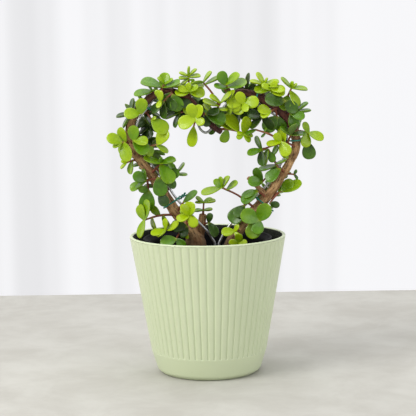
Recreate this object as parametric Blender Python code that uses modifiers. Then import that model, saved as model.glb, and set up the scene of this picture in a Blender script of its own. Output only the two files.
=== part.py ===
"""A small-leaved jade plant trained as a heart on a wire, in a nursery pot inside a ribbed cover pot.

The origin is the centre of the cover pot's underside, +Z is up and -Y is the side seen first.
Lengths are in metres, except in the tables of the plant, which are in millimetres above the soil.
"""

import math

import bmesh
import bpy
import numpy as np
from mathutils import Quaternion, Vector
from mathutils.bvhtree import BVHTree

MM = 0.001
GAP = 0.0003  # clearance between pieces that touch

# Cover pot
POT_HEIGHT = 0.124
POT_RIM_RADIUS = 0.070
POT_SHOULDER_RADIUS = 0.0519  # where the flutes meet the foot band
POT_FOOT_RADIUS = 0.0462  # at the lower end of the foot band
POT_BASE_RADIUS = 0.0440  # flat underside
FOOT_BAND_HEIGHT = 0.020
FOOT_ROUND = 0.003
POT_WALL = 0.0030
POT_FLOOR = 0.0040
FLUTES = 60
FLUTE_DEPTH = 0.00125
FLUTE_FLAT = 0.57  # share of a flute's pitch that is flat
FLUTE_RUNOUT = 0.0008  # height over which a groove rises to the plain band
LIP_HEIGHT = 0.0018

# Nursery pot
NURSERY_DROP = 0.0025  # its rim below the cover pot's
NURSERY_RIM_RADIUS = 0.0580
NURSERY_THROAT_RADIUS = 0.0520  # inside the rim's collar
NURSERY_BASE_RADIUS = 0.0390
NURSERY_COLLAR = 0.0045
NURSERY_WALL = 0.0012
DRAIN_HOLES = 5
DRAIN_HOLE_RADIUS = 0.0040
DRAIN_HOLE_CIRCLE = 0.0250

# Soil, wire, ties
SOIL_DROP = 0.0200  # soil surface below the cover pot's rim
SOIL_CROWN = 0.0015
WIRE_RADIUS = 0.0011
TIE_RADIUS = 0.0008
TIE_PITCH = 0.0024
TIE_TAIL = 0.0060
TIE_STEPS = 14  # straight lengths in a tie's one turn

# Twigs and leaves
TWIG_BASE_RADIUS = 0.0014
TWIG_TIP_RADIUS = 0.0008
TWIG_BOW = 0.06
TWIG_CLEAR = 0.0018  # least distance from the wood's surface of a fork or a leaf's root
LEAF_THICKNESS = 0.0026
LEAF_SINK = 0.0009  # how far a leaf's root goes into its twig
LEAF_BREADTH = 0.88  # of its length, on a full-grown leaf
YOUNG_LEAF_BREADTH = 0.62
FULL_GROWN = 0.014  # length from which a leaf has its full breadth
LEAF_OUTLINE = ((0.36, 0.74), (0.74, 1.0), (0.98, 0.48))  # shares of its length and half breadth
LEAF_CREST = 0.58  # share of its length where it is thickest
LEAF_STALK_SHARE = 0.4  # of a leaf's length, where leaves of one twig may meet
WOOD_SPACING = 6.5  # millimetres between the rings of a stem
WIRE_SPACING = 8.0
LIGHT = Vector((-0.25, -0.52, 0.82)).normalized()
SIDE_TILT = 0.8  # how much a leaf faces along its shoot, against the light's 1
UP_TILT = 0.4  # and how much more where the shoot grows up
HEADING_REACH = 0.15  # share of a shoot either side of a leaf that gives the shoot's heading
CLEAR_STEP = 0.04  # share of a shoot by which a root moves out to be clear of the wood

SOIL_TOP = POT_HEIGHT - SOIL_DROP
SOIL_LEVEL = Vector((0.0, 0.0, SOIL_TOP))

# Wood: x, y, z and radius in millimetres, z above the soil, from the root upwards.
STEM_LEFT = (
    (-10, 0, -25, 8.0), (-10, 0, 0, 9.2), (-11, 0, 13, 8.8), (-14, 0, 22, 6.8), (-20, 0, 30, 5.6),
    (-28, 0, 40, 5.0), (-33, 0, 48, 4.8), (-39, 0, 58, 4.5), (-45, 0, 67, 4.2), (-52, 0, 78, 4.0),
    (-59, 0, 87, 3.9), (-65, 0, 97, 3.8), (-68, 0, 107, 3.8), (-68, 0, 116, 3.8), (-65, 0, 125, 3.6),
    (-60, 0, 133, 3.4), (-54, 0, 139, 3.2), (-48, 0, 144, 3.1), (-38, -1, 148, 3.0), (-27, -2, 148, 2.9),
    (-14, -3, 141, 2.8), (-3, -3, 127, 2.7), (5, -3, 118, 2.6), (13, -3, 112, 2.2),
)
STUMP_STUB = ((-8, 2, 12, 4.2), (-6, 2, 25, 3.8), (-4, 2, 37, 3.4))
STEM_RIGHT = (
    (17, 0, -25, 5.4), (18, 0, 0, 5.4), (20, 0, 10, 5.1), (25, 0, 19, 4.8), (32, 0, 28, 4.7),
    (39, 0, 37, 4.6), (49, 0, 48, 4.5), (56, 0, 56, 4.3), (61, 0, 63, 4.2), (66, 0, 71, 4.0),
    (71, 0, 78, 3.8), (75, 0, 86, 3.8), (79, 0, 94, 3.8), (80, 0, 103, 3.8), (78, 0, 113, 4.1),
    (73, 0, 122, 4.4), (67, 0, 129, 4.2), (59, 0, 136, 4.0), (50, 0, 141, 3.8), (41, 0, 145, 3.3),
    (30, 0, 147, 2.9), (20, 0, 145, 2.4),
)
CUT_TWIG = ((54, -1, 54, 2.2), (44, -4, 64, 2.0), (37, -6, 71, 1.8))
CROWN_STUB = ((22, 0, 145, 2.2), (18, 0, 150, 2.0), (16, 0, 156, 1.8))

# The wire: x, y, z in millimetres, from one end in the soil round the heart to the other.
HEART = (
    (6, -3, -70), (6, -3, 0), (6, -3, 13), (0, -5, 23), (-9, -4, 33), (-18, -1, 42), (-26, 0, 51),
    (-36, 0, 61), (-49, 0, 77), (-56, 0, 86), (-62, 0, 97), (-64, -1, 110), (-63, -2, 118),
    (-60, -2, 126), (-54, -1, 136), (-46, 3, 143), (-36, 5, 147), (-27, 5, 145), (-19, 5, 139),
    (-12, 5, 130), (-8, 5, 121), (-5, 5, 114), (0, 5, 111), (5, 5, 115), (9, 5, 122), (13, 4, 130),
    (20, 3, 138), (31, 2, 143), (44, 1, 144), (55, 0, 136), (64, 0, 124), (69, 0, 115), (71, 0, 110),
    (72, 0, 101), (71, 0, 93), (67, 0, 84), (60, 0, 73), (53, 0, 62), (43, 0, 53), (34, 0, 46),
    (28, -1, 38), (19, -2, 27), (11, -3, 14), (10, -3, 0), (10, -3, -70),
)

# Ties: name, x and z of the place on the stem in millimetres, and which way their tails point.
TIES = (
    ("tie_left_low", -31, 46, 0),
    ("tie_right_low", 49, 49, 170),
    ("tie_right_high", 78, 103, 200),
    ("tie_crown_left", -51, 138, -80),
    ("tie_crown_right", 45, 143, -60),
)

# Shoots: node, start, tip, youth and leaves. A start is a point in the wood, or a share of the way
# along the node's first shoot. Points are x, y, z in millimetres, z above the soil. Youth runs from
# 0, dark and full-grown, to 1, bright and new. A leaf is how far along the shoot it sits, where it
# points as seen from the front (degrees anticlockwise from the right), how far it leans to the
# front (degrees), and its length in millimetres.
SHOOTS = (
    ("crown_left", (-42, -2, 143), (-36, -5, 155), 0.6,
     ((0.5, 163, 5, 20), (0.5, 8, 25, 18), (1, 132, 10, 9), (1, 27, 5, 9), (0.7, 75, -10, 13.5))),
    ("crown_left", 0.35, (-40, -14, 141), 0.9,
     ((1, 85, 25, 10), (1, 255, 35, 8), (0.8, 120, 10, 8))),
    ("shoulder_left", (-49, 0, 141), (-47, -2, 149), 0.4,
     ((0.7, 187, 5, 17), (1, 120, 20, 6.5), (1, 60, 40, 8))),
    ("lobe_outer", (-62, -2, 130), (-57, -13, 130), 0.8,
     ((1, 85, 12, 14), (0.8, 183, 10, 14.5))),
    ("lobe_outer", 0.4, (-66, -3, 129), 0.25,
     ((1, 78, -10, 14.5), (1, 190, 0, 14), (1, -100, -15, 14.5))),
    ("lobe_inner", (-60, 3, 129), (-48, 6, 130), 0.1,
     ((0.4, -62, 0, 14.5), (0.8, -25, 10, 11), (1, -62, 5, 15.5))),
    ("lobe_inner", 0.5, (-48, -6, 124), 0.85,
     ((1, -38, 15, 18), (1, 30, 30, 5.5))),
    ("lobe_inner", 0.45, (-53, 9, 122), 0.1,
     ((1, -30, 0, 15.5), (1, -95, 0, 15.5), (1, -150, 0, 14.5), (0.6, 40, 0, 13.5))),
    ("inner_bright", (-63, -3, 94), (-43, -8, 102), 0.8,
     ((1, 78, 10, 15.5), (0.95, -35, 5, 12.5), (0.75, -110, 10, 10), (1, 15, 20, 5.5))),
    ("inner_bright", 0.6, (-50, 2, 95), 0.2,
     ((1, -75, 0, 14.5), (1, -10, 0, 13.5), (1, 60, 0, 13.5))),
    ("left_node", (-67, -1, 103), (-75, -6, 104), 0.8,
     ((1, 158, 8, 14.5), (0.4, 100, 10, 14.5), (0.8, -72, 20, 18),
      (0.7, -110, -25, 13.5), (1, -150, 10, 9))),
    ("left_front", (-66, -4, 103), (-64, -10, 106), 0.6,
     ((1, -8, 10, 13), (0.8, -62, 5, 17), (1, 100, -5, 13.5))),
    ("left_dark", (-67, 2, 110), (-61, 5, 110), 0.1,
     ((1, -28, 0, 20), (1, -95, -5, 14.5), (1, 45, 0, 11))),
    ("left_dark", 0.9, (-56, 8, 103), 0.15,
     ((1, -30, 0, 15.5), (1, -95, 0, 14.5), (0.6, 30, 0, 13.5))),
    ("left_small", (-59, -1, 88), (-71, -3, 86), 0.75,
     ((1, 225, 10, 8), (1, 165, 0, 5.5), (0.5, -98, 5, 12.5))),
    ("left_low", (-52, -2, 70), (-56, -4, 68), 0.5,
     ((1, 208, 10, 14), (0.9, 140, 10, 8))),
    ("left_low", 0.3, (-52, -5, 61), 0.5,
     ((1, 168, 10, 9.5), (1, -95, 0, 19))),
    ("left_skirt", (-29, -3, 38), (-56, -9, 35), 0.75,
     ((1, 63, 20, 20), (1, 108, 0, 14.5), (1, -105, 15, 17),
      (0.5, 130, -10, 11), (0.4, -60, -20, 13.5), (0.75, -80, -20, 13.5))),
    ("rim_left", (-14, -9, 18), (-37, -17, 27), 0.85,
     ((1, 92, 10, 10.5), (0.95, 27, 20, 13.5), (1, 197, 15, 14),
      (1, 225, 35, 11), (0.1, 60, 30, 5.5), (0.12, -60, 30, 5.5))),
    ("rim_left", 0.45, (-28, -20, 19), 0.3,
     ((1, 195, 10, 14.5), (1, -40, 15, 11))),
    ("tie_side", (-28, -3, 39), (-21, -6, 50), 0.35,
     ((1, 40, 5, 16),)),
    ("low_rosette", (-18, -6, 30), (-16, -19, 40), 0.9,
     ((1, 130, 15, 12.5), (1, 200, 25, 12.5), (1, 45, 20, 9),
      (0.8, 80, -5, 13.5), (1, -60, 25, 12.5), (0.7, 135, -20, 10))),
    ("low_rosette", 0.2, (-18, -14, 29), 0.2,
     ((1, 195, 10, 14.5), (1, 240, 20, 11))),
    ("centre_shoot", (-4, 0, 32), (-3, -2, 49), 0.7,
     ((1, 145, 5, 9), (1, 172, 10, 8), (1, 8, 5, 11),
      (1, 28, -15, 9), (0.45, 178, 20, 8.5), (0.45, 3, 20, 9))),
    ("centre_dark", (-4, 0, 28), (1, -3, 31), 0.1,
     ((1, 80, 0, 9), (1, -62, 5, 14.5))),
    ("inner_left_a", (-51, -3, 74), (-40, -6, 85), 0.5,
     ((1, 165, 5, 17), (1, 15, 5, 13.5), (0.95, 95, 10, 6.5), (0.9, -65, 15, 20))),
    ("inner_left_a", 0.5, (-38, -1, 73), 0.3,
     ((1, 10, 5, 14.5), (1, -60, 5, 14.5), (0.6, 80, 0, 12.5))),
    ("inner_left_b", (-37, 2, 56), (-28, 5, 74), 0.45,
     ((1, 55, 10, 13.5), (1, 0, 10, 11), (0.7, -20, 15, 14.5), (0.6, -8, 35, 13.5), (1, 125, 10, 12.5))),
    ("bark_left", (-45, -4, 68), (-43, -11, 73), 0.35,
     ((1, -72, 10, 17), (1, 60, 20, 8))),
    ("bark_left", 0.3, (-42, -12, 59), 0.15,
     ((1, -60, 10, 13), (1, 150, 10, 5.5))),
    ("bark_left", 0.5, (-54, -7, 70), 0.35,
     ((1, 170, 5, 13.5), (1, -120, 5, 13.5), (1, 100, 5, 11))),
    ("apex", (-13, 0, 143), (-15, -3, 162), 0.8,
     ((1, 88, 15, 9), (1, 160, 5, 9), (1, 40, 10, 10), (0.93, 10, 5, 11), (0.9, 185, 15, 9), (0.85, 225, 10, 9),
      (0.8, 0, 10, 5.5), (0.5, 175, 5, 14.5), (0.5, 5, 5, 13.5), (0.3, 120, 25, 6.5), (0.25, -30, 40, 6.5))),
    ("apex", 0.15, (-15, -9, 149), 0.85,
     ((1, 155, 10, 10), (1, 22, 10, 10), (1, 85, 15, 8), (0.6, -12, 0, 14.5), (0.6, 195, 0, 13.5))),
    ("notch_spray", (3, 0, 119), (13, -9, 138), 0.85,
     ((1, 150, 20, 12.5), (1, 45, 20, 14), (0.85, 168, 15, 15.5),
      (0.7, -10, 20, 10), (0.45, -55, 10, 12.5), (0.4, 140, 0, 13.5))),
    ("notch_spray", 0.9, (-2, -3, 156), 0.7,
     ((1, 150, 10, 12.5), (1, 55, 5, 12.5), (0.9, 22, -5, 17))),
    ("crown_mid", (23, -1, 145), (18, -8, 154), 0.5,
     ((1, 38, 5, 15.5), (0.75, 10, 5, 18), (0.6, 150, 15, 13.5), (1, 100, 5, 13.5), (0.45, -80, 10, 12.5))),
    ("crown_mid_back", (39, 2, 144), (36, 9, 147), 0.1,
     ((1, 75, 0, 17), (1, 20, 5, 12.5), (1, 150, 0, 14.5), (0.6, -95, -5, 15.5))),
    ("crown_mid_back", 0.5, (43, 10, 137), 0.05,
     ((1, -85, 0, 17), (1, -25, 0, 15.5), (1, 215, 0, 14.5))),
    ("crown_mid_back", 0.9, (30, 8, 134), 0.1,
     ((1, -100, 0, 18), (1, -45, 0, 17), (1, -155, 0, 17), (0.6, 0, 0, 15.5), (0.6, 180, 0, 15.5))),
    ("front_mid", (33, -2, 146), (33, -13, 137), 0.9,
     ((1, 112, 15, 12.5), (1, 12, 15, 14.5), (1, -60, 45, 10), (0.8, 175, 0, 17), (0.55, -112, 0, 15.5))),
    ("front_mid", 0.4, (20, -9, 140), 0.85,
     ((1, 150, 10, 12.5), (1, 62, 10, 11), (1, -38, 15, 13.5), (0.7, -120, 5, 14.5))),
    ("rosette", (-5, -2, 132), (-9, -15, 126), 0.9,
     ((1, 115, 15, 13.5), (1, -40, 30, 11), (1, 205, 5, 17), (1, 58, 22, 13.5), (0.6, 150, -10, 14.5))),
    ("rosette", 0.3, (-11, -5, 117), 0.7,
     ((1, -92, 8, 18),)),
    ("rosette", 0.4, (-23, -6, 130), 0.3,
     ((1, 200, 0, 14.5), (1, -110, 5, 14.5), (1, 130, 0, 13.5))),
    ("crown_glossy", (-31, -2, 148), (-29, -11, 146), 0.25,
     ((1, -22, 10, 17), (0.6, -108, -10, 14.5), (1, -68, 0, 15.5))),
    ("crown_glossy", 0.8, (-22, -9, 139), 0.15,
     ((1, -100, 5, 15.5), (1, -155, 0, 14.5), (0.7, -50, 0, 17))),
    ("crown_glossy", 0.8, (-37, -9, 140), 0.12,
     ((1, -92, 5, 15.5), (1, -140, 5, 14.5), (0.7, -40, 5, 14.5))),
    ("lobe_deep", (-19, 2, 146), (-19, 5, 132), 0.15,
     ((0.8, 205, 5, 17), (1, -115, 5, 13.5), (1, 190, 10, 12.5), (1, -58, 5, 14.5), (0.55, -15, 12, 13.5))),
    ("notch_dark", (-2, -3, 125), (0, -10, 129), 0.1,
     ((1, -24, 10, 19), (0.55, -80, -5, 11), (1, 35, -5, 14.5))),
    ("droop", (11, -2, 115), (33, -6, 111), 0.85,
     ((0.8, 125, 10, 20), (1, 80, 10, 15.5), (0.55, 112, -20, 17), (1, 185, 20, 6.5), (1, -140, 20, 8),
      (1, -52, 10, 10), (1, -25, 0, 9), (0.3, 78, 0, 13.5), (0.35, -110, 0, 12.5))),
    ("crown_right", (51, 0, 141), (52, -3, 154), 0.9,
     ((1, 128, 5, 12.5), (1, 172, 10, 13.5), (1, 60, 15, 6.5), (1, 5, 5, 13.5), (0.85, -8, 20, 13.5))),
    ("crown_right", 0.3, (58, -7, 149), 0.85,
     ((1, 150, 10, 10), (1, 62, 10, 9), (1, 12, 10, 12.5), (0.7, -15, 0, 14.5), (0.7, 175, 0, 13.5))),
    ("right_tip", (69, 0, 131), (76, -3, 150), 0.75,
     ((1, 140, 5, 13.5), (1, 75, 5, 6.5), (1, 32, 0, 6.5),
      (1, -2, 5, 14.5), (0.85, -66, 5, 15.5), (0.6, -110, 25, 14.5))),
    ("right_tip", 0.35, (70, -7, 139), 0.2,
     ((1, 162, 8, 19), (1, -45, 0, 14.5))),
    ("inner_bright_right", (64, -3, 132), (57, -11, 130), 0.95,
     ((1, 165, 15, 12.5), (1, 85, 15, 10), (1, 215, 20, 10.5))),
    ("inner_bright_right", 0.3, (63, -5, 125), 0.2,
     ((1, 228, 0, 17), (1, -60, -10, 14.5))),
    ("inner_bright_right", 0.8, (50, -7, 126), 0.15,
     ((1, -120, 0, 15.5), (1, -50, 0, 15.5), (1, 180, 0, 13.5))),
    ("right_shoulder", (73, -2, 126), (75, -8, 128), 0.3,
     ((1, -18, 10, 13), (1, -75, 0, 13.5), (1, 40, 5, 11))),
    ("right_shoulder", 0.8, (80, -4, 129), 0.25,
     ((1, 60, 0, 13.5), (1, 0, 0, 13.5), (1, 125, 0, 11))),
    ("right_spray", (80, 3, 112), (91, -3, 110), 0.65,
     ((1, 118, 5, 11), (1, -22, 5, 14.5), (0.85, -98, 10, 13.5))),
    ("right_spray", 0.75, (90, 0, 102), 0.1,
     ((1, -80, 0, 16),)),
    ("right_cluster", (81, -3, 97), (66, -10, 103), 0.85,
     ((1, 125, 10, 10), (1, 190, 15, 13.5), (1, -60, 20, 14.5),
      (0.8, -85, -10, 15.5), (0.8, 100, -10, 13.5))),
    ("right_cluster", 0.6, (75, -9, 109), 0.3,
     ((1, 78, 10, 13.5), (1, 12, 5, 13.5), (1, 150, 0, 12.5))),
    ("right_cluster", 0.85, (44, -9, 114), 0.35,
     ((1, 92, -5, 15.5), (1, 178, 5, 10), (0.7, 60, 0, 4.5), (0.65, -130, 5, 5.5))),
    ("right_cluster", 0.5, (49, -6, 96), 0.3,
     ((1, 200, 5, 13.5), (1, -80, 5, 14.5), (1, 110, 5, 13.5))),
    ("red_shoot", (67, -2, 70), (55, -4, 96), 0.45,
     ((1, 180, 5, 10), (0.98, -108, 0, 15.5), (0.9, -70, 10, 10), (0.45, 15, 5, 11),
      (0.4, 200, 5, 17), (0.35, 232, 10, 12.5), (0.7, 55, 0, 11))),
    ("red_shoot", 0.3, (49, -6, 67), 0.25,
     ((1, 200, 0, 13.5), (1, 110, 5, 14.5))),
    ("right_glossy", (69, -3, 75), (65, -10, 79), 0.3,
     ((1, 222, 10, 16),)),
    ("stub_leaves", (69, 0, 73), (78, -1, 73), 0.3,
     ((1, 65, 5, 5), (1, -60, 5, 5.5))),
    ("heart_leaf", (56, 0, 52), (68, -3, 58), 0.65,
     ((1, 25, 12, 19), (0.9, 62, -10, 14.5), (0.6, 52, 0, 10))),
    ("heart_leaf", 0.1, (56, -5, 48), 0.05,
     ((1, -15, 5, 9),)),
    ("low_right_a", (53, -3, 52), (45, -8, 59), 0.3,
     ((1, 222, 10, 18), (1, 205, -5, 15.5))),
    ("hole_sprig", (43, -2, 43), (13, -8, 63), 0.6,
     ((1, 202, 5, 19), (1, 135, 5, 10), (1, 92, 0, 10), (0.97, 62, 5, 12.5), (0.85, 33, 5, 12.5))),
    ("hole_sprig", 0.3, (33, -5, 46), 0.2,
     ((1, 234, 0, 19), (1, 228, 25, 13.5))),
    ("low_node", (41, -3, 42), (46, -16, 34), 0.4,
     ((1, 147, 15, 18.5), (1, 62, 10, 17.5), (1, 238, 15, 18), (1, 255, 35, 14.5))),
    ("rim_right", (28, -4, 24), (24, -12, 24), 1,
     ((1, 185, 10, 12), (1, 60, 30, 8), (1, -50, 30, 6.5))),
    ("rim_right", 0.3, (27, -14, 14), 0.75,
     ((1, 80, 20, 10), (1, 172, 20, 9), (1, 5, 20, 9))),
)

# Long shoots behind the heart: node, which stem, and the shares of the stem where each one leaves
# the wood and ends.
BACK_SHOOTS = (
    ("back_left_low", "left", 0.30, 0.50),
    ("back_left_high", "left", 0.55, 0.78),
    ("back_right_low", "right", 0.28, 0.50),
    ("back_right_high", "right", 0.56, 0.80),
    ("back_left_crown", "left", 0.78, 0.97),
    ("back_right_crown", "right", 0.78, 1.0),
)
BACK_OFFSET = 0.012  # least distance of a long shoot behind the stem's centre line
BACK_CLEARANCE = 0.006  # and behind the stem's surface
BACK_PAIRS = 7
BACK_FIRST_PAIR = 0.30  # share of the shoot
BACK_FIRST_TURN = 30.0  # degrees round the shoot
BACK_LEAF = 15.5  # oldest leaf, millimetres
BACK_LEAF_STEP = 1.0  # each pair is smaller than the last by this
BACK_LEAF_SWEEP = 0.5  # how much a leaf points along the shoot, against 1 away from it
BACK_YOUTH = 0.3


def clear_scene():
    for item in list(bpy.data.objects):
        bpy.data.objects.remove(item, do_unlink=True)


def collection(name):
    made = bpy.data.collections.new(name)
    bpy.context.scene.collection.children.link(made)
    return made


def material(name, colour, roughness, metallic=0.0):
    made = bpy.data.materials.new(name)
    made.use_nodes = True
    shader = made.node_tree.nodes["Principled BSDF"]
    shader.inputs["Base Color"].default_value = (*colour, 1.0)
    shader.inputs["Roughness"].default_value = roughness
    shader.inputs["Metallic"].default_value = metallic
    return made


def place(name, mesh, into, finish=None):
    item = bpy.data.objects.new(name, mesh)
    into.objects.link(item)
    if finish:
        mesh.materials.clear()
        mesh.materials.append(finish)
    return item


def as_cutter(item):
    item.hide_render = True
    item.display_type = "WIRE"
    return item


def boolean(item, other, operation, solver="EXACT"):
    step = item.modifiers.new(operation.lower(), "BOOLEAN")
    step.operation = operation
    step.object = other
    step.solver = solver


def settled(item):
    """The item's evaluated mesh in world space, and the item removed."""
    bpy.context.view_layer.update()
    evaluated = item.evaluated_get(bpy.context.evaluated_depsgraph_get())
    mesh = bpy.data.meshes.new_from_object(evaluated)
    mesh.transform(item.matrix_world)
    bpy.data.objects.remove(item, do_unlink=True)
    return mesh


def face_outwards(form):
    if form.calc_volume(signed=True) < 0:
        bmesh.ops.reverse_faces(form, faces=form.faces)


def welded(mesh):
    """The mesh with a curve's loose end caps joined to its sides."""
    form = bmesh.new()
    form.from_mesh(mesh)
    bmesh.ops.remove_doubles(form, verts=form.verts, dist=0.00001)
    face_outwards(form)
    form.to_mesh(mesh)
    form.free()
    return mesh


def smooth_route(points, spacing):
    """Points about one spacing apart on a Catmull-Rom curve through rows of x, y, z and more."""
    rows = np.array(points, float)
    padded = np.vstack([2 * rows[0] - rows[1], rows, 2 * rows[-1] - rows[-2]])
    route = []
    for index in range(1, len(padded) - 2):
        a, b, c, d = padded[index - 1:index + 3]
        steps = max(1, round(np.linalg.norm((c - b)[:3]) / spacing))
        for step in range(steps):
            t = step / steps
            route.append(0.5 * (2 * b + (c - a) * t + (2 * a - 5 * b + 4 * c - d) * t ** 2
                                + (3 * b - a - 3 * c + d) * t ** 3))
    return np.array(route + [rows[-1]])


def tube_object(name, points, radii, into, resolution=1):
    """A round bar along the points, its radius given at each of them."""
    curve = bpy.data.curves.new(name, "CURVE")
    curve.dimensions = "3D"
    curve.bevel_depth = 1.0
    curve.bevel_resolution = resolution
    curve.use_fill_caps = True
    spline = curve.splines.new("POLY")
    spline.points.add(len(points) - 1)
    for knot, point, radius in zip(spline.points, points, radii):
        knot.co = (*point, 1.0)
        knot.radius = radius
    item = bpy.data.objects.new(name, curve)
    into.objects.link(item)
    return item


def tube_mesh(name, points, radii, resolution=1):
    return welded(settled(tube_object(name, points, radii, bpy.context.scene.collection, resolution)))


def turned(name, profile, steps, into):
    """A profile of (radius, height) points turned once round the Z axis."""
    mesh = bpy.data.meshes.new(name)
    mesh.from_pydata([(radius, 0.0, height) for radius, height in profile],
                     [(index, index + 1) for index in range(len(profile) - 1)], [])
    item = place(name, mesh, into)
    screw = item.modifiers.new("turn", "SCREW")
    screw.steps = steps
    screw.render_steps = steps
    screw.use_merge_vertices = True
    screw.merge_threshold = 0.00001
    return item


def surface(mesh):
    """A search tree of the mesh's faces, with its lowest and highest corners."""
    corners = np.array([vertex.co[:] for vertex in mesh.vertices])
    tree = BVHTree.FromPolygons(corners.tolist(), [face.vertices[:] for face in mesh.polygons])
    return tree, corners.min(axis=0), corners.max(axis=0)


# Cover pot ------------------------------------------------------------------------------------

def pot_outer_radius(height):
    rise = (height - FOOT_BAND_HEIGHT) / (POT_HEIGHT - FOOT_BAND_HEIGHT)
    return POT_SHOULDER_RADIUS + (POT_RIM_RADIUS - POT_SHOULDER_RADIUS) * rise


def fluted_ring(radius, depth, height):
    """One ring of the pot's outside: a flat and a V groove for each flute."""
    ring = []
    for flute in range(FLUTES):
        for share, cut in ((0.0, 0.0), (FLUTE_FLAT, 0.0), ((1 + FLUTE_FLAT) / 2, depth)):
            angle = 2 * math.pi * (flute + share) / FLUTES
            ring.append(((radius - cut) * math.cos(angle), (radius - cut) * math.sin(angle), height))
    return ring


def planter_pot(parts, cutters, finish):
    groove_foot = FOOT_BAND_HEIGHT + FLUTE_RUNOUT
    groove_top = POT_HEIGHT - LIP_HEIGHT
    rings = (
        fluted_ring(POT_BASE_RADIUS, 0.0, 0.0),
        fluted_ring(POT_FOOT_RADIUS, 0.0, FOOT_ROUND),
        fluted_ring(POT_SHOULDER_RADIUS, 0.0, FOOT_BAND_HEIGHT),
        fluted_ring(pot_outer_radius(groove_foot), FLUTE_DEPTH, groove_foot),
        fluted_ring(pot_outer_radius(groove_top), FLUTE_DEPTH, groove_top),
        fluted_ring(POT_RIM_RADIUS, 0.0, POT_HEIGHT),
    )
    form = bmesh.new()
    loops = [[form.verts.new(point) for point in ring] for ring in rings]
    around = len(loops[0])
    for low, high in zip(loops, loops[1:]):
        for index in range(around):
            after = (index + 1) % around
            form.faces.new((low[index], low[after], high[after], high[index]))
    form.faces.new(reversed(loops[0]))
    form.faces.new(loops[-1])
    mesh = bpy.data.meshes.new("planter_pot")
    form.to_mesh(mesh)
    form.free()
    pot = place("planter_pot", mesh, parts, finish)
    cavity = turned("pot_cavity", (
        (0.0, POT_HEIGHT + POT_WALL),
        (POT_RIM_RADIUS - POT_WALL, POT_HEIGHT + POT_WALL),
        (POT_RIM_RADIUS - POT_WALL, POT_HEIGHT),
        (POT_SHOULDER_RADIUS - POT_WALL, FOOT_BAND_HEIGHT),
        (POT_FOOT_RADIUS - POT_WALL, POT_FLOOR),
        (0.0, POT_FLOOR),
    ), 64, cutters)
    boolean(pot, as_cutter(cavity), "DIFFERENCE")
    return pot


# Nursery pot and soil -------------------------------------------------------------------------

NURSERY_FOOT = POT_FLOOR + GAP
NURSERY_TOP = POT_HEIGHT - NURSERY_DROP


def nursery_inner_radius(height):
    low = NURSERY_FOOT + NURSERY_WALL
    high = NURSERY_TOP - NURSERY_COLLAR
    share = (height - low) / (high - low)
    base = NURSERY_BASE_RADIUS - NURSERY_WALL
    return base + (NURSERY_THROAT_RADIUS - base) * share


def nursery_pot(parts, cutters, finish):
    throat = NURSERY_TOP - NURSERY_COLLAR
    item = turned("nursery_pot", (
        (0.0, NURSERY_FOOT + NURSERY_WALL),
        (NURSERY_BASE_RADIUS - NURSERY_WALL, NURSERY_FOOT + NURSERY_WALL),
        (NURSERY_THROAT_RADIUS, throat),
        (NURSERY_RIM_RADIUS - 2 * NURSERY_WALL, NURSERY_TOP),
        (NURSERY_RIM_RADIUS - NURSERY_WALL / 2, NURSERY_TOP),
        (NURSERY_RIM_RADIUS, NURSERY_TOP - NURSERY_WALL),
        (NURSERY_RIM_RADIUS - NURSERY_WALL / 2, NURSERY_TOP - 2 * NURSERY_WALL),
        (NURSERY_THROAT_RADIUS + NURSERY_WALL, throat - NURSERY_WALL),
        (NURSERY_BASE_RADIUS, NURSERY_FOOT),
        (0.0, NURSERY_FOOT),
    ), 40, parts)
    item.data.materials.append(finish)
    for hole in range(DRAIN_HOLES):
        angle = 2 * math.pi * hole / DRAIN_HOLES
        bpy.ops.mesh.primitive_cylinder_add(
            vertices=12, radius=DRAIN_HOLE_RADIUS, depth=6 * NURSERY_WALL,
            location=(DRAIN_HOLE_CIRCLE * math.cos(angle), DRAIN_HOLE_CIRCLE * math.sin(angle),
                      NURSERY_FOOT + NURSERY_WALL / 2))
        drill = bpy.context.object
        drill.name = f"drain_drill_{hole + 1}"
        drill.users_collection[0].objects.unlink(drill)
        cutters.objects.link(drill)
        boolean(item, as_cutter(drill), "DIFFERENCE")
    return item


def potting_soil(parts, clear_cutters, finish):
    floor = NURSERY_FOOT + NURSERY_WALL + GAP
    shoulder = SOIL_TOP - SOIL_CROWN
    item = turned("potting_soil", (
        (0.0, SOIL_TOP),
        (0.6 * NURSERY_THROAT_RADIUS, SOIL_TOP - SOIL_CROWN / 3),
        (nursery_inner_radius(shoulder) - GAP, shoulder),
        (nursery_inner_radius(floor) - GAP, floor),
        (0.0, floor),
    ), 36, parts)
    item.data.materials.append(finish)
    for cutter in clear_cutters:
        boolean(item, cutter, "DIFFERENCE")
    return item


# Wood and wire --------------------------------------------------------------------------------

def wood_route(rows, spacing):
    """Centre line in metres and radii of a piece of wood given in millimetres above the soil."""
    route = smooth_route(rows, spacing) * MM
    return route[:, :3] + np.array(SOIL_LEVEL), route[:, 3]


def wood_mesh(name, pieces, extra=0.0):
    """Tubes along the pieces of wood, joined to one body, each radius larger by extra."""
    return joined([tube_mesh(name, points, radii + extra, 2) for points, radii in pieces])


def joined(meshes, cutters=()):
    """The overlapping closed meshes united to one body, less the cutters.

    Several leaves meet in one twig's tip, where the EXACT solver leaves open edges.
    """
    hold = bpy.context.scene.collection
    bodies = [place("body", mesh, hold) for mesh in meshes]
    for other in bodies[1:]:
        boolean(bodies[0], other, "UNION", "MANIFOLD")
    for cutter in cutters:
        boolean(bodies[0], cutter, "DIFFERENCE", "MANIFOLD")
    mesh = settled(bodies[0])
    for other in bodies[1:]:
        bpy.data.objects.remove(other, do_unlink=True)
    return mesh


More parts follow.
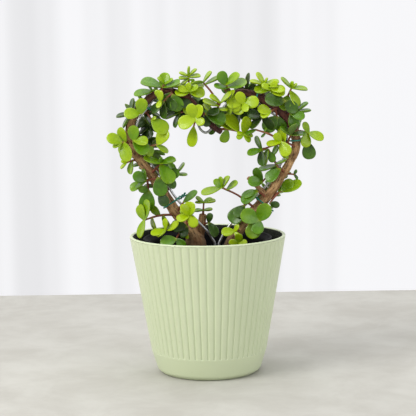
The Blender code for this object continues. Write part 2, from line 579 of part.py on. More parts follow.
def pushed_clear(points, woods, radius):
    """The points moved away from each wood's centre line until the surfaces clear."""
    moved = points.copy()
    for centres, radii in woods:
        for index, point in enumerate(moved):
            offsets = point - centres
            near = np.argmin(np.linalg.norm(offsets, axis=1))
            spread = np.linalg.norm(offsets[near])
            need = radii[near] + radius + 4 * GAP
            if spread < need:
                moved[index] = centres[near] + offsets[near] * need / spread
    return moved


def tie_route(centres, radii, wire, place_at, tail_angle):
    """One turn of a helix round a stem and the wire beside it, with a straight tail at each end."""
    start = np.array((place_at[0] * MM, 0.0, place_at[1] * MM)) + np.array(SOIL_LEVEL)
    near = int(np.argmin(np.linalg.norm(centres - start, axis=1)))
    centre, radius = centres[near], radii[near]
    along = Vector(centres[near + 1] - centres[near - 1]).normalized()
    gaps = wire - centre
    beside = Vector(gaps[int(np.argmin(np.linalg.norm(gaps, axis=1)))])
    beside -= along * beside.dot(along)
    reach = beside.length
    side = beside.normalized()
    face = along.cross(side)
    clear = TIE_RADIUS + 3 * GAP
    half_long = (radius + reach + WIRE_RADIUS) / 2 + clear + GAP
    half_wide = radius + clear + GAP
    middle = Vector(centre) + side * ((reach + WIRE_RADIUS - radius) / 2)
    turn = math.radians(tail_angle)
    points = []
    for step in range(TIE_STEPS + 1):
        angle = turn + 2 * math.pi * step / TIE_STEPS
        lift = along * (TIE_PITCH * (step / TIE_STEPS - 0.5))
        points.append(middle + side * half_long * math.cos(angle) + face * half_wide * math.sin(angle) + lift)
    outward = (side * math.cos(turn) * half_long + face * math.sin(turn) * half_wide).normalized()
    tails = (outward * TIE_TAIL - along * TIE_PITCH, outward * TIE_TAIL + along * TIE_PITCH)
    return [points[0] + tails[0], *points, points[-1] + tails[1]]


# Shoots and leaves ----------------------------------------------------------------------------

def bearing(clock, lean):
    """The direction at a clock angle as seen from the front, leaning to the front."""
    clock, lean = math.radians(clock), math.radians(lean)
    return Vector((math.cos(lean) * math.cos(clock), -math.sin(lean), math.cos(lean) * math.sin(clock)))


def leaf_breadth(length):
    share = min(1.0, length / FULL_GROWN)
    return YOUNG_LEAF_BREADTH + (LEAF_BREADTH - YOUNG_LEAF_BREADTH) * share


def leaf_form(root, direction, face, length, margin=0.0):
    """An outline that is broadest past its middle, with one crest above it and one below."""
    side = face.cross(direction)
    half = leaf_breadth(length) * length / 2 + margin
    crest = LEAF_THICKNESS / 2 + margin
    whole = LEAF_SINK + length + margin
    near = root - direction * LEAF_SINK
    outline = [(0.0, 0.0), *LEAF_OUTLINE, *((along, -across) for along, across in reversed(LEAF_OUTLINE))]
    form = bmesh.new()
    rim = [form.verts.new(near + direction * whole * along + side * half * across)
           for along, across in outline]
    middle = near + direction * whole * LEAF_CREST
    above, below = form.verts.new(middle + face * crest), form.verts.new(middle - face * crest)
    for first, second in zip(rim, rim[1:] + rim[:1]):
        form.faces.new((first, second, above))
        form.faces.new((second, first, below))
    face_outwards(form)
    mesh = bpy.data.meshes.new("leaf")
    form.to_mesh(mesh)
    form.free()
    return mesh


def leaf_face(direction, heading):
    """The upper face looks towards the shoot's tip, most on one that grows up, and to the light."""
    face = heading * SIDE_TILT + Vector((0.0, 0.0, UP_TILT * max(0.0, heading.z))) + LIGHT
    face -= direction * face.dot(direction)
    return face.normalized()


def trials():
    """Turns (degrees), leans (degrees) and sizes that a leaf tries, in order."""
    for size in (1.0, 0.88, 0.76, 0.64):
        for turn, lean in ((0, 0), (9, 0), (-9, 0), (0, 10), (0, -10), (18, 6), (-18, 6), (18, -8),
                           (-18, -8), (0, 24), (0, -24), (30, 0), (-30, 0), (26, 20), (-26, 20)):
            yield turn, lean, size


def meets(found, other):
    tree, low, high = found
    if np.any(low > other[2]) or np.any(high < other[1]):
        return False
    return bool(tree.overlap(other[0]))


def fitted_leaf(root, heading, clock, lean, length, obstacles, siblings):
    """The first trial of a leaf that clears everything, or None."""
    for turn, more_lean, size in trials():
        direction = bearing(clock + turn, lean + more_lean)
        face = leaf_face(direction, heading)
        span = length * size
        probe = surface(leaf_form(root, direction, face, span, 1.5 * GAP))
        if any(meets(probe, other) for other in obstacles):
            continue
        stalk = LEAF_STALK_SHARE * span
        outer = surface(leaf_form(root + direction * stalk, direction, face, span - stalk))
        if any(meets(outer, other) for other in siblings):
            continue
        return (root, direction, face, span), outer
    return None


def shoot_path(start, tip):
    """Three points on a gentle upward bow from start to tip."""
    bow = Vector((0.0, 0.0, TWIG_BOW * (tip - start).length))
    return [start, (start + tip) / 2 + bow, tip]


def twig_mesh(path):
    radii = np.linspace(TWIG_BASE_RADIUS, TWIG_TIP_RADIUS, len(path))
    return tube_mesh("twig", path, radii, 0)


def heading_at(path, share):
    ahead = along_path(path, min(1.0, share + HEADING_REACH))
    return (ahead - along_path(path, max(0.0, share - HEADING_REACH))).normalized()


def clear_share(path, share, woods):
    """The share moved along the path until it is clear of all wood."""
    while share < 1.0:
        point = np.array(along_path(path, share))
        spare = min((np.linalg.norm(centres - point, axis=1) - radii).min() for centres, radii in woods)
        if spare > TWIG_CLEAR:
            break
        share = min(1.0, share + CLEAR_STEP)
    return share


def along_path(path, share):
    place_on = share * (len(path) - 1)
    index = min(int(place_on), len(path) - 2)
    return path[index].lerp(path[index + 1], place_on - index)


def rooted(point, woods):
    """The point brought inside the nearest wood."""
    best = None
    for centres, radii in woods:
        offsets = np.array(point) - centres
        distances = np.linalg.norm(offsets, axis=1)
        near = int(np.argmin(distances))
        if best is None or distances[near] - radii[near] < best[0]:
            best = (distances[near] - radii[near], centres[near], offsets[near], radii[near])
    _, centre, offset, radius = best
    reach = np.linalg.norm(offset)
    return Vector(centre + offset * min(1.0, 0.5 * radius / max(reach, 1e-9)))


def back_shoots(stems):
    """Long shoots behind the stems, whose opposite pairs each turn a quarter from the last."""
    rows = []
    for node, side, first, last in BACK_SHOOTS:
        centres, radii = stems[side]
        picks = [round(share * (len(centres) - 1)) for share in np.linspace(first, last, 4)]
        path = [Vector(centres[picks[0]])]
        for pick in picks[1:]:
            behind = max(BACK_OFFSET, radii[pick] + BACK_CLEARANCE)
            path.append(Vector(centres[pick]) + Vector((0.0, behind, 0.0)))
        leaves = []
        for pair in range(BACK_PAIRS):
            share = BACK_FIRST_PAIR + (1 - BACK_FIRST_PAIR) * pair / (BACK_PAIRS - 1)
            heading = heading_at(path, share)
            across = heading.cross(Vector((0.0, 1.0, 0.0))).normalized()
            across = Quaternion(heading, math.radians(BACK_FIRST_TURN + 90 * pair)) @ across
            for sign in (1, -1):
                aim = (heading * BACK_LEAF_SWEEP + across * sign).normalized()
                leaves.append((share, math.degrees(math.atan2(aim.z, aim.x)),
                               -math.degrees(math.asin(aim.y)), BACK_LEAF - BACK_LEAF_STEP * pair))
        rows.append((node, path, BACK_YOUTH, leaves))
    return rows


def front_shoots(woods):
    """The rows of SHOOTS with their paths in metres; a side shoot starts clear of the wood."""
    rows = []
    firsts = {}
    for node, start, tip, youth, leaves in SHOOTS:
        if isinstance(start, tuple):
            foot = rooted(Vector(start) * MM + SOIL_LEVEL, woods)
        else:
            foot = along_path(firsts[node], clear_share(firsts[node], start, woods))
        path = shoot_path(foot, Vector(tip) * MM + SOIL_LEVEL)
        firsts.setdefault(node, path)
        rows.append((node, path, youth, leaves))
    return rows


def grown(rows, woods, solids):
    """Each node's shoots with the leaves that fit: node -> list of (path, youth, leaves)."""
    plants = {}
    twigs = []
    for node, path, youth, _ in rows:
        plants.setdefault(node, []).append((path, youth, []))
        twigs.append((node, surface(twig_mesh(path))))
    placed = []
    turns = {}
    for node, path, _, leaves in rows:
        turns[node] = turns.get(node, -1) + 1
        kept = plants[node][turns[node]][2]
        obstacles = solids + [tree for owner, tree in twigs if owner != node]
        obstacles += [tree for owner, tree, _ in placed if owner != node]
        siblings = [outer for owner, _, outer in placed if owner == node]
        for share, clock, lean, length in leaves:
            share = clear_share(path, share, woods)
            fitted = fitted_leaf(along_path(path, share), heading_at(path, share), clock, lean,
                                 length * MM, obstacles, siblings)
            if fitted:
                kept.append(fitted[0])
                siblings.append(fitted[1])
                placed.append((node, surface(leaf_form(*fitted[0])), fitted[1]))
    return plants


def sprig(name, shoots, clear_cutters, parts, finish):
    """A node's twigs and leaves joined to one body and cut clear of the wood and the wire."""
    meshes = []
    for path, _, leaves in shoots:
        meshes.append(twig_mesh(path))
        meshes += [leaf_form(*leaf) for leaf in leaves]
    return place(name, joined(meshes, clear_cutters), parts, finish)


def leaf_colour(youth):
    dark = np.array((0.060, 0.110, 0.010))
    bright = np.array((0.380, 0.520, 0.010))
    return tuple(dark + (bright - dark) * youth)


def build():
    clear_scene()
    parts = collection("potted_jade_plant")
    cutters = collection("cutters")
    bark = material("bark", (0.300, 0.160, 0.075), 0.75)
    planter_pot(parts, cutters, material("sage_glaze", (0.600, 0.665, 0.450), 0.45))
    nursery_pot(parts, cutters, material("black_plastic", (0.012, 0.012, 0.014), 0.40))

    left = [wood_route(rows, WOOD_SPACING) for rows in (STEM_LEFT, STUMP_STUB)]
    right = [wood_route(rows, WOOD_SPACING) for rows in (STEM_RIGHT, CUT_TWIG, CROWN_STUB)]
    woods = [wood_route(rows, 1.0) for rows in (STEM_LEFT, STUMP_STUB, STEM_RIGHT, CUT_TWIG, CROWN_STUB)]
    stems = {"left": woods[0], "right": woods[2]}
    wire_points = smooth_route(HEART, WIRE_SPACING) * MM + np.array(SOIL_LEVEL)
    wire_points = pushed_clear(wire_points, woods, WIRE_RADIUS)
    wire_radii = np.full(len(wire_points), WIRE_RADIUS)

    solids = []
    for name, pieces in (("stem_left", left), ("stem_right", right)):
        solids.append(place(name, wood_mesh(name, pieces), parts, bark))
    zinc = material("galvanised_wire", (0.480, 0.490, 0.500), 0.38, 1.0)
    solids.append(place("heart_wire", tube_mesh("heart_wire", wire_points, wire_radii), parts, zinc))
    teal = material("tie_plastic", (0.012, 0.185, 0.130), 0.45)
    for name, x, z, tail in TIES:
        centres, radii = (left if x < 0 else right)[0]
        route = tie_route(centres, radii, wire_points, (x, z), tail)
        mesh = tube_mesh(name, route, np.full(len(route), TIE_RADIUS), 0)
        solids.append(place(name, mesh, parts, teal))

    wood_cutters = []
    for name, pieces in (("stem_left_clear", left), ("stem_right_clear", right)):
        wood_cutters.append(as_cutter(place(name, wood_mesh(name, pieces, GAP), cutters)))
    wire_clear = tube_mesh("heart_wire_clear", wire_points, wire_radii + GAP)
    wire_cutter = as_cutter(place("heart_wire_clear", wire_clear, cutters))
    soil = material("soil", (0.020, 0.014, 0.010), 0.95)
    clear_cutters = wood_cutters + [wire_cutter]
    potting_soil(parts, clear_cutters, soil)

    bpy.context.view_layer.update()
    graph = bpy.context.evaluated_depsgraph_get()
    still = [surface(item.data) for item in solids]
    for item in parts.objects:
        if item.name in ("planter_pot", "nursery_pot", "potting_soil"):
            still.append(surface(item.evaluated_get(graph).data))
    rows = front_shoots(woods) + back_shoots(stems)
    for node, shoots in grown(rows, woods, still).items():
        leaf_finish = material(f"leaves_{node}", leaf_colour(shoots[0][1]), 0.30)
        sprig(f"sprig_{node}", shoots, clear_cutters, parts, leaf_finish)
    for item in parts.objects:
        item.data.shade_smooth()
        item.data.set_sharp_from_angle(angle=math.radians(35))


build()
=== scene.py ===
# %% [markdown]
# # A jade plant trained as a heart, in a ribbed cover pot
# The object is a small-leaved jade plant. Its woody stems are tied to a wire bent as a heart, and
# it grows in a thin black nursery pot that stands inside a pale green cover pot. The fixed frame
# holds one plain solid for each piece, at its real place and size. Each step below makes one
# piece's fine surface with numpy, gives it a finish made of shader nodes, and lets it stand for
# the plain solid.

# %% The fixed frame
import math

import bmesh
import bpy
import numpy as np
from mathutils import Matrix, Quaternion, Vector
from mathutils.bvhtree import BVHTree


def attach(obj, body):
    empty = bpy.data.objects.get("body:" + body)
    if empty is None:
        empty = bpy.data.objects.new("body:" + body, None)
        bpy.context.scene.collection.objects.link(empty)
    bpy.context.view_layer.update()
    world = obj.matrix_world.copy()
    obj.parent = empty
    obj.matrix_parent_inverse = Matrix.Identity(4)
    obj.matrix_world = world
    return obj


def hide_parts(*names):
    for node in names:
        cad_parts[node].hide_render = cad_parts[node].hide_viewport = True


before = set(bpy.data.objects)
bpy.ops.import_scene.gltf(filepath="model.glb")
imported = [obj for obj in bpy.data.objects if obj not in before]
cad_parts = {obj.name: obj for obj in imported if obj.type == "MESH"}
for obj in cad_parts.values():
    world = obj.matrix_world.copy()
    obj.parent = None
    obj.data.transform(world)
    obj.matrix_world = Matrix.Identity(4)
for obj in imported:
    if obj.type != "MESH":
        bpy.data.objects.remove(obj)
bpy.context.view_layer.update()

MM = 0.001

# %% [markdown]
# ## Shader maths as Python sums
# A finish is a small graph of nodes. Adding them by hand hides the idea behind the plumbing, so a
# wrapped socket is used here: writing `1 - mask * 0.5` adds the two Math nodes and links them.
# Every other node comes from one method that takes the node's type, its settings and its sockets.

# %% A wrapped socket and a finish
class Socket:
    """One output socket; arithmetic on it adds Math nodes to its finish."""

    def __init__(self, finish, output):
        self.finish = finish
        self.output = output

    def _math(self, operation, *values, clamp=False):
        return self.finish.node("ShaderNodeMath", {"operation": operation, "use_clamp": clamp},
                                dict(enumerate(values)))

    def __add__(self, other):
        return self._math("ADD", self, other)

    def __mul__(self, other):
        return self._math("MULTIPLY", self, other)

    def __sub__(self, other):
        return self._math("SUBTRACT", self, other)

    def __rsub__(self, other):
        return self._math("SUBTRACT", other, self)

    __radd__ = __add__
    __rmul__ = __mul__

    def clamped(self):
        return self._math("ADD", self, 0.0, clamp=True)

    def step(self, low, high):
        """0 below low, 1 above high and a smooth change between."""
        return self.finish.node("ShaderNodeMapRange", {"interpolation_type": "SMOOTHSTEP"},
                                {"Value": self, "From Min": low, "From Max": high})


class Finish:
    """A material with a Principled shader and short ways to add nodes."""

    def __init__(self, name, **constants):
        self.material = bpy.data.materials.new(name)
        self.material.use_nodes = True
        self.tree = self.material.node_tree
        self.shader = self.tree.nodes["Principled BSDF"]
        for key, value in constants.items():
            self.shader.inputs[key.replace("_", " ")].default_value = value

    def node(self, kind, settings=None, sockets=None, output=0):
        """A node of this type: its settings first, then a value or a link for each socket."""
        made = self.tree.nodes.new(kind)
        for key, value in (settings or {}).items():
            setattr(made, key, value)
        for key, value in (sockets or {}).items():
            self.feed(made.inputs[key], value)
        return Socket(self, made.outputs[output])

    def feed(self, socket, value):
        if isinstance(value, Socket):
            self.tree.links.new(value.output, socket)
        elif isinstance(value, tuple) and len(value) == 3 and socket.type == "RGBA":
            socket.default_value = (*value, 1.0)
        else:
            socket.default_value = value

    def shade(self, **values):
        for key, value in values.items():
            self.feed(self.shader.inputs[key.replace("_", " ")], value)

    def mark(self, name, output="Fac"):
        """A number or vector stored on the piece's points."""
        return self.node("ShaderNodeAttribute", {"attribute_name": name}, output=output)

    def marks(self, *names):
        return [self.mark(name) for name in names]

    def place(self):
        return self.node("ShaderNodeTexCoord", output="Object")

    def noise(self, at, scale, detail=3.0, roughness=0.55, distortion=0.0):
        return self.node("ShaderNodeTexNoise", {}, {
            "Vector": at, "Scale": scale, "Detail": detail, "Roughness": roughness,
            "Distortion": distortion})

    def cells(self, at, scale):
        return self.node("ShaderNodeTexVoronoi", {}, {"Vector": at, "Scale": scale}, output="Distance")

    def stretched(self, at, factors):
        return self.node("ShaderNodeVectorMath", {"operation": "MULTIPLY"}, {0: at, 1: factors})

    def blend(self, first, second, share):
        """Colours mixed: all first at share 0, all second at share 1."""
        return self.node("ShaderNodeMix", {"data_type": "RGBA"}, {0: share, 6: first, 7: second}, output=2)

    def bumped(self, height, depth):
        """Light falls as on a surface raised by height times depth, in metres."""
        self.shade(Normal=self.node("ShaderNodeBump", {}, {
            "Height": height, "Distance": depth, "Strength": 1.0}))


print("finishes can be written as sums")

# %% [markdown]
# ## Surfaces from grids
# Nearly everything here is a row of rings: a pot's profile turned round its axis, a stem's rings
# along its route, a leaf's rings from stalk to tip. So one helper joins neighbouring rings with
# quads and closes both ends on a pole, and another turns such shells into one object. Building
# them from whole arrays is quick for thousands of points and leaves no holes.

# %% Rings to closed shells, and shells to a piece
def turn_angles(columns):
    """Angles of equal steps once round."""
    return np.arange(columns) * 2 * math.pi / columns


def turned(radius, angle, height):
    """A grid of points: one ring for each row of radius and height, one column for each angle."""
    radius = radius * np.ones(len(angle))
    height = height * np.ones_like(radius)
    return np.stack((radius * np.cos(angle), radius * np.sin(angle), height), axis=-1)


def closed_faces(rows, columns):
    """Quads between neighbouring rings whose last column meets the first, and fans to a pole
    below the first ring and one above the last.

    The poles' points come after the grid's: the first ring's pole, then the last ring's.
    """
    index = np.arange(rows * columns).reshape(rows, columns)
    after = np.roll(index, -1, axis=1)
    quads = np.stack((index[:-1], after[:-1], after[1:], index[1:]), axis=-1).reshape(-1, 4)
    low, high = (np.full(columns, rows * columns + pole) for pole in (0, 1))
    start = np.stack((low, after[0], index[0]), axis=-1)
    end = np.stack((high, index[-1], after[-1]), axis=-1)
    return quads, np.concatenate((start, end))


def with_poles(grid, low, high):
    """The grid's points as a list, followed by its two poles."""
    return np.concatenate((grid.reshape(-1, grid.shape[-1]), [low], [high]))


def closed_shell(grid, low, high, marks=None, finish=0):
    """The closed surface of a grid of rings between two poles."""
    quads, tris = closed_faces(*grid.shape[:2])
    return {"points": with_poles(grid, low, high), "quads": quads, "tris": tris,
            "marks": marks or {}, "finish": finish}


def copied_shell(points, faces, marks):
    """Many copies of one closed form: points has a row of points for each copy."""
    quads, tris = faces
    offset = (np.arange(len(points)) * points.shape[1])[:, None, None]
    return {"points": points.reshape(-1, 3), "quads": (quads + offset).reshape(-1, 4),
            "tris": (tris + offset).reshape(-1, 3), "marks": marks, "finish": 0}


def linked(name, data):
    """A new object with this data, in the scene."""
    item = bpy.data.objects.new(name, data)
    bpy.context.scene.collection.objects.link(item)
    return item


def final_mesh(item):
    """A mesh of the object as its modifiers or its curve's settings leave it."""
    bpy.context.view_layer.update()
    return bpy.data.meshes.new_from_object(item.evaluated_get(bpy.context.evaluated_depsgraph_get()))


def piece(name, shells, finishes, nodes=(), levels=0):
    """One object from closed shells, each a dict of points, quads, tris, marks and finish."""
    points = np.concatenate([shell["points"] for shell in shells])
    faces, finish_of = [], []
    start = 0
    for shell in shells:
        for corners in (shell["quads"], shell["tris"]):
            faces += (corners + start).tolist()
            finish_of.append(np.full(len(corners), shell["finish"]))
        start += len(shell["points"])
    mesh = bpy.data.meshes.new(name)
    mesh.from_pydata(points.tolist(), [], faces)
    for finish in finishes:
        mesh.materials.append(finish.material)
    mesh.polygons.foreach_set("material_index", np.concatenate(finish_of).astype(np.int32))
    mesh.polygons.foreach_set("use_smooth", np.ones(len(faces), bool))
    for mark in shells[0]["marks"]:
        values = np.concatenate([shell["marks"][mark] for shell in shells]).astype(np.float32)
        kind = "FLOAT_VECTOR" if values.ndim == 2 else "FLOAT"
        stored = mesh.attributes.new(mark, kind, "POINT")
        stored.data.foreach_set("vector" if values.ndim == 2 else "value", values.ravel())
    mesh.validate()
    mesh.update()
    item = linked(name, mesh)
    if levels:
        smoother = item.modifiers.new("smoother", "SUBSURF")
        smoother.levels = levels
        smoother.render_levels = levels
    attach(item, "root")
    if nodes:
        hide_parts(*nodes)
    return item


def ripple(seed, first, second, count, low, high):
    """A smooth wave pattern on two arrays: the mean of sines of mixed, seeded directions."""
    picks = np.random.default_rng(seed)
    total = np.zeros(np.broadcast(first, second).shape)
    for _ in range(count):
        around = picks.integers(low[0], high[0] + 1)
        along = picks.uniform(low[1], high[1])
        total = total + np.sin(around * first + along * second + picks.uniform(0, 2 * math.pi))
    return total / count


print("helpers ready")

# %% [markdown]
# ## The cover pot
# The real pot is cast, with sixty upright grooves between flats, a plain lip and a plain band at
# the foot. Its outside is one function of height and angle: the wall's taper gives the radius,
# and a groove takes a rounded V away from it. A bump in the finish could fake the grooves, but
# they show at the outline and under the lip, so they are real geometry.

# %% Profile and grooves
POT_HEIGHT = 0.124
POT_RIM_RADIUS = 0.070
POT_SHOULDER_RADIUS = 0.0519
POT_FOOT_RADIUS = 0.0462
POT_BASE_RADIUS = 0.0440
FOOT_BAND_HEIGHT = 0.020
POT_WALL = 0.0030
POT_FLOOR = 0.0040
POT_RECESS = 0.0012  # the underside's middle above the foot ring
FLUTES = 60
FLUTE_DEPTH = 0.0015
FLUTE_FLAT = 0.57  # share of a flute's pitch
FLUTE_SHARES = np.array((0.0, 0.2, 0.4, 0.54, 0.585, 0.63, 0.68, 0.73, 0.785, 0.84, 0.89, 0.94, 0.985))
FLUTE_START = 0.0001  # above the foot band
FLUTE_RUNOUT = 0.0007  # height over which a groove reaches its depth
FLUTE_FADE = 0.0018  # and over which it ends under the lip
GROOVE_ROUND = 0.16  # softness of a groove's bottom
GROOVE_POWER = 2.4
GROOVE_FOOT_SHADE_SIZE = 0.0006  # of the painted shade at a groove's foot
LIP_HEIGHT = 0.0018


def rounded(corners, radius, steps=5):
    """A profile whose inner corners are turned to arcs: each is a quadratic curve that leaves
    one side at the radius's distance from the corner and joins the next."""
    corners = np.array(corners, float)
    path = [corners[:1]]
    for before, corner, after in zip(corners, corners[1:], corners[2:]):
        back, on = before - corner, after - corner
        reach = min(radius, 0.45 * np.linalg.norm(back), 0.45 * np.linalg.norm(on))
        start = corner + back / np.linalg.norm(back) * reach
        end = corner + on / np.linalg.norm(on) * reach
        t = np.linspace(0, 1, steps)[:, None]
        path.append(start * (1 - t) ** 2 + corner * 2 * t * (1 - t) + end * t ** 2)
    return np.concatenate(path + [corners[-1:]])


def spaced(path, longest):
    """The profile with extra points so that no step is longer than this."""
    steps = np.maximum(1, np.ceil(np.linalg.norm(np.diff(path, axis=0), axis=1) / longest)).astype(int)
    blocks = [np.linspace(a, b, n, endpoint=False) for a, b, n in zip(path, path[1:], steps)]
    return np.concatenate(blocks + [path[-1:]])


def groove_depth(share):
    """Depth of a groove, 0 to 1, from the share of a flute's pitch: flat, then a rounded V."""
    across = np.clip(np.abs(share - (1 + FLUTE_FLAT) / 2) / ((1 - FLUTE_FLAT) / 2), 0, 1)
    whole = (1 + GROOVE_ROUND) ** (1 / GROOVE_POWER)
    return 1 - (GROOVE_ROUND + across ** GROOVE_POWER) ** (1 / GROOVE_POWER) / whole


def pot_profile():
    """Radius and height rows round the wall: underside, foot ring, outside, lip, inside, floor."""
    base, foot, shoulder, rim = POT_BASE_RADIUS, POT_FOOT_RADIUS, POT_SHOULDER_RADIUS, POT_RIM_RADIUS
    wall = POT_WALL
    return spaced(rounded([
        (0.004, POT_RECESS), (base - 0.0055, POT_RECESS), (base - 0.0045, 0.0), (base - 0.0018, 0.0),
        (base + 0.0002, 0.0014), (foot + 0.0004, 0.0034), (shoulder, FOOT_BAND_HEIGHT),
        (rim, POT_HEIGHT), (rim - wall, POT_HEIGHT), (shoulder - wall, FOOT_BAND_HEIGHT),
        (foot - wall, POT_FLOOR), (0.004, POT_FLOOR)], 0.0016, 6), 0.0045)


def pot_shell():
    """The profile turned once; the wall's rows are closer where the grooves begin and end."""
    profile = pot_profile()
    lip_foot = POT_HEIGHT - LIP_HEIGHT
    rise = np.array((0.0002, 0.0005, 0.0009, 0.0014, 0.0022))
    extra = np.concatenate((FOOT_BAND_HEIGHT + rise, lip_foot + np.linspace(-0.002, 0.0006, 6)))
    on_wall = (profile[:, 1] > FOOT_BAND_HEIGHT) & (profile[:, 1] < POT_HEIGHT - 0.0017)
    on_wall &= np.arange(len(profile)) < np.argmax(profile[:, 1])
    heights = np.unique(np.concatenate((profile[on_wall, 1], extra)).round(6))
    radii = np.interp(heights, (FOOT_BAND_HEIGHT, POT_HEIGHT), (POT_SHOULDER_RADIUS, POT_RIM_RADIUS))
    first, last = np.flatnonzero(on_wall)[[0, -1]]
    profile = np.concatenate((profile[:first], np.stack((radii, heights), axis=1), profile[last + 1:]))
    fluted = np.zeros((len(profile), 1))
    fluted[first:first + len(heights), 0] = (
        np.clip((heights - FOOT_BAND_HEIGHT - FLUTE_START) / FLUTE_RUNOUT, 0, 1)
        * np.clip((lip_foot + 0.0004 - heights) / FLUTE_FADE, 0, 1) ** 0.6)
    angle = (np.arange(FLUTES)[:, None] + FLUTE_SHARES).ravel() * 2 * math.pi / FLUTES
    depth = np.tile(groove_depth(FLUTE_SHARES), FLUTES)
    grid = turned(profile[:, :1] - FLUTE_DEPTH * fluted * depth, angle, profile[:, 1:])
    inside = np.zeros(grid.shape[:2])
    inside[int(np.argmax(profile[:, 1])) + 5:] = 1.0
    # Painted shade: a thin dark band where each groove runs out onto the foot band.
    groove_foot_shade_and_twig_node = np.exp(-((profile[:, 1:] - FOOT_BAND_HEIGHT - GROOVE_FOOT_SHADE_SIZE) / GROOVE_FOOT_SHADE_SIZE) ** 2)
    groove_foot_shade_and_twig_node = groove_foot_shade_and_twig_node * depth * (fluted > 0)
    return closed_shell(grid, (0, 0, POT_RECESS), (0, 0, POT_FLOOR), {
        "groove": np.append(fluted * depth, (0, 0)), "groove_foot_shade_and_twig_node": np.append(groove_foot_shade_and_twig_node, (0, 0)),
        "inside": np.append(inside, (0, 1))})


pot = pot_shell()
print("cover pot:", len(pot["points"]), "points")

# %% [markdown]
# ## Glaze
# A satin sage glaze is nearly even. What makes it real is small: it is coloured darker in the grooves,
# partly for glaze pooled there and partly as painted shade, with a thin painted shadow where each
# groove runs out at the foot band; it thins to a lighter line on the edges of the flats and the lip,
# has faint clouds and a fine orange-peel in the shine. The inside is coloured near black and left rough.

# %% Sage glaze
glaze = Finish("sage_glaze", Specular_IOR_Level=0.42, Coat_Roughness=0.28)
at = glaze.place()
clouds = glaze.noise(at, 26.0, 3.0)
grain = glaze.noise(at, 900.0, 2.0)
groove, inside, groove_foot_shade_and_twig_node = glaze.marks("groove", "inside", "groove_foot_shade_and_twig_node")
edge = groove.step(0.02, 0.12) * (1 - groove.step(0.16, 0.4))
sage = glaze.blend((0.600, 0.675, 0.440), (0.655, 0.720, 0.495), clouds)
# Painted shade: the grooves are coloured darker, partly for glaze pooled there and partly as painted shade.
sage = glaze.blend(sage, (0.440, 0.530, 0.300), groove.step(0.25, 1.0) * 0.75)
sage = glaze.blend(sage, (0.740, 0.790, 0.600), edge * 0.5)
speckle = glaze.noise(at, 420.0, 2.0).step(0.66, 0.74)
sage = glaze.blend(sage, (0.500, 0.560, 0.360), speckle * 0.35)
# Painted shade: a dark line at each groove's foot, where the foot band's ledge falls into shadow.
sage = glaze.blend(sage, (0.120, 0.160, 0.070), groove_foot_shade_and_twig_node.step(0.25, 0.8) * 0.8)
flecks = glaze.noise(at, 520.0, 4.0, 0.7).step(0.4, 0.7)
# The inside is coloured near black.
near_black_inside = glaze.blend((0.006, 0.008, 0.004), (0.034, 0.042, 0.022), flecks)
glaze.shade(Base_Color=glaze.blend(sage, near_black_inside, inside), Roughness=0.40 + clouds * 0.10 + inside * 0.4,
            Coat_Weight=0.12 - inside * 0.12)
glaze.bumped(grain * 0.5 + clouds * 0.5 + inside * grain * 6.0, 0.00012)
cover_pot = piece("cover_pot", [pot], [glaze], ["planter_pot"])
print("cover pot:", len(cover_pot.data.polygons), "faces")

# %% [markdown]
# ## The nursery pot
# A thin blow-formed pot with a collar and a rolled rim. It is a turned profile like the cover
# pot, with a half-round at the rim; drain holes are cut through its floor with a Boolean, because
# holes do not fit on a grid of rings.

# %% Thin black pot with drain holes
NURSERY_FOOT = POT_FLOOR + 0.0003
NURSERY_TOP = POT_HEIGHT - 0.0025
NURSERY_RIM_RADIUS = 0.0580
NURSERY_THROAT_RADIUS = 0.0520
NURSERY_BASE_RADIUS = 0.0390
NURSERY_COLLAR = 0.0045
NURSERY_WALL = 0.0012
DRAIN_HOLES = 5
DRAIN_HOLE_RADIUS = 0.004
DRAIN_HOLE_CIRCLE = 0.025


def nursery_profile():
    """From the middle of the underside up the outside, round the rolled rim and down the inside."""
    throat = NURSERY_TOP - NURSERY_COLLAR
    t, w = NURSERY_THROAT_RADIUS, NURSERY_WALL
    turn = np.linspace(-0.35 * math.pi, math.pi, 12)
    roll = np.stack((NURSERY_RIM_RADIUS - w + w * np.cos(turn), NURSERY_TOP - w + w * np.sin(turn)), axis=1)
    outside = rounded([(0.002, NURSERY_FOOT), (NURSERY_BASE_RADIUS, NURSERY_FOOT),
                       (t + w, throat - w), (NURSERY_RIM_RADIUS - 2.2 * w, NURSERY_TOP - 2.6 * w),
                       (NURSERY_RIM_RADIUS - 0.6 * w, NURSERY_TOP - 2.1 * w)], 0.0016, 4)
    inside = rounded([(NURSERY_RIM_RADIUS - 2.4 * w, NURSERY_TOP - 1.4 * w), (t, throat),
                      (NURSERY_BASE_RADIUS - w, NURSERY_FOOT + w), (0.002, NURSERY_FOOT + w)], 0.0016, 4)
    return spaced(np.concatenate((outside, roll, inside)), 0.008)


def drilled(item, centres, radius, low, high):
    """The piece's mesh with round holes cut upright through it."""
    cutters = []
    for x, y in centres:
        form = bmesh.new()
        bmesh.ops.create_cone(form, cap_ends=True, segments=24, radius1=radius, radius2=radius,
                              depth=high - low)
        bmesh.ops.translate(form, verts=form.verts, vec=(x, y, (low + high) / 2))
        mesh = bpy.data.meshes.new("drill")
        form.to_mesh(mesh)
        form.free()
        cutters.append(linked("drill", mesh))
        cut = item.modifiers.new("drain", "BOOLEAN")
        cut.operation = "DIFFERENCE"
        cut.object = cutters[-1]
    cut_mesh = final_mesh(item)
    item.modifiers.clear()
    item.data = cut_mesh
    for drill in cutters:
        bpy.data.objects.remove(drill, do_unlink=True)


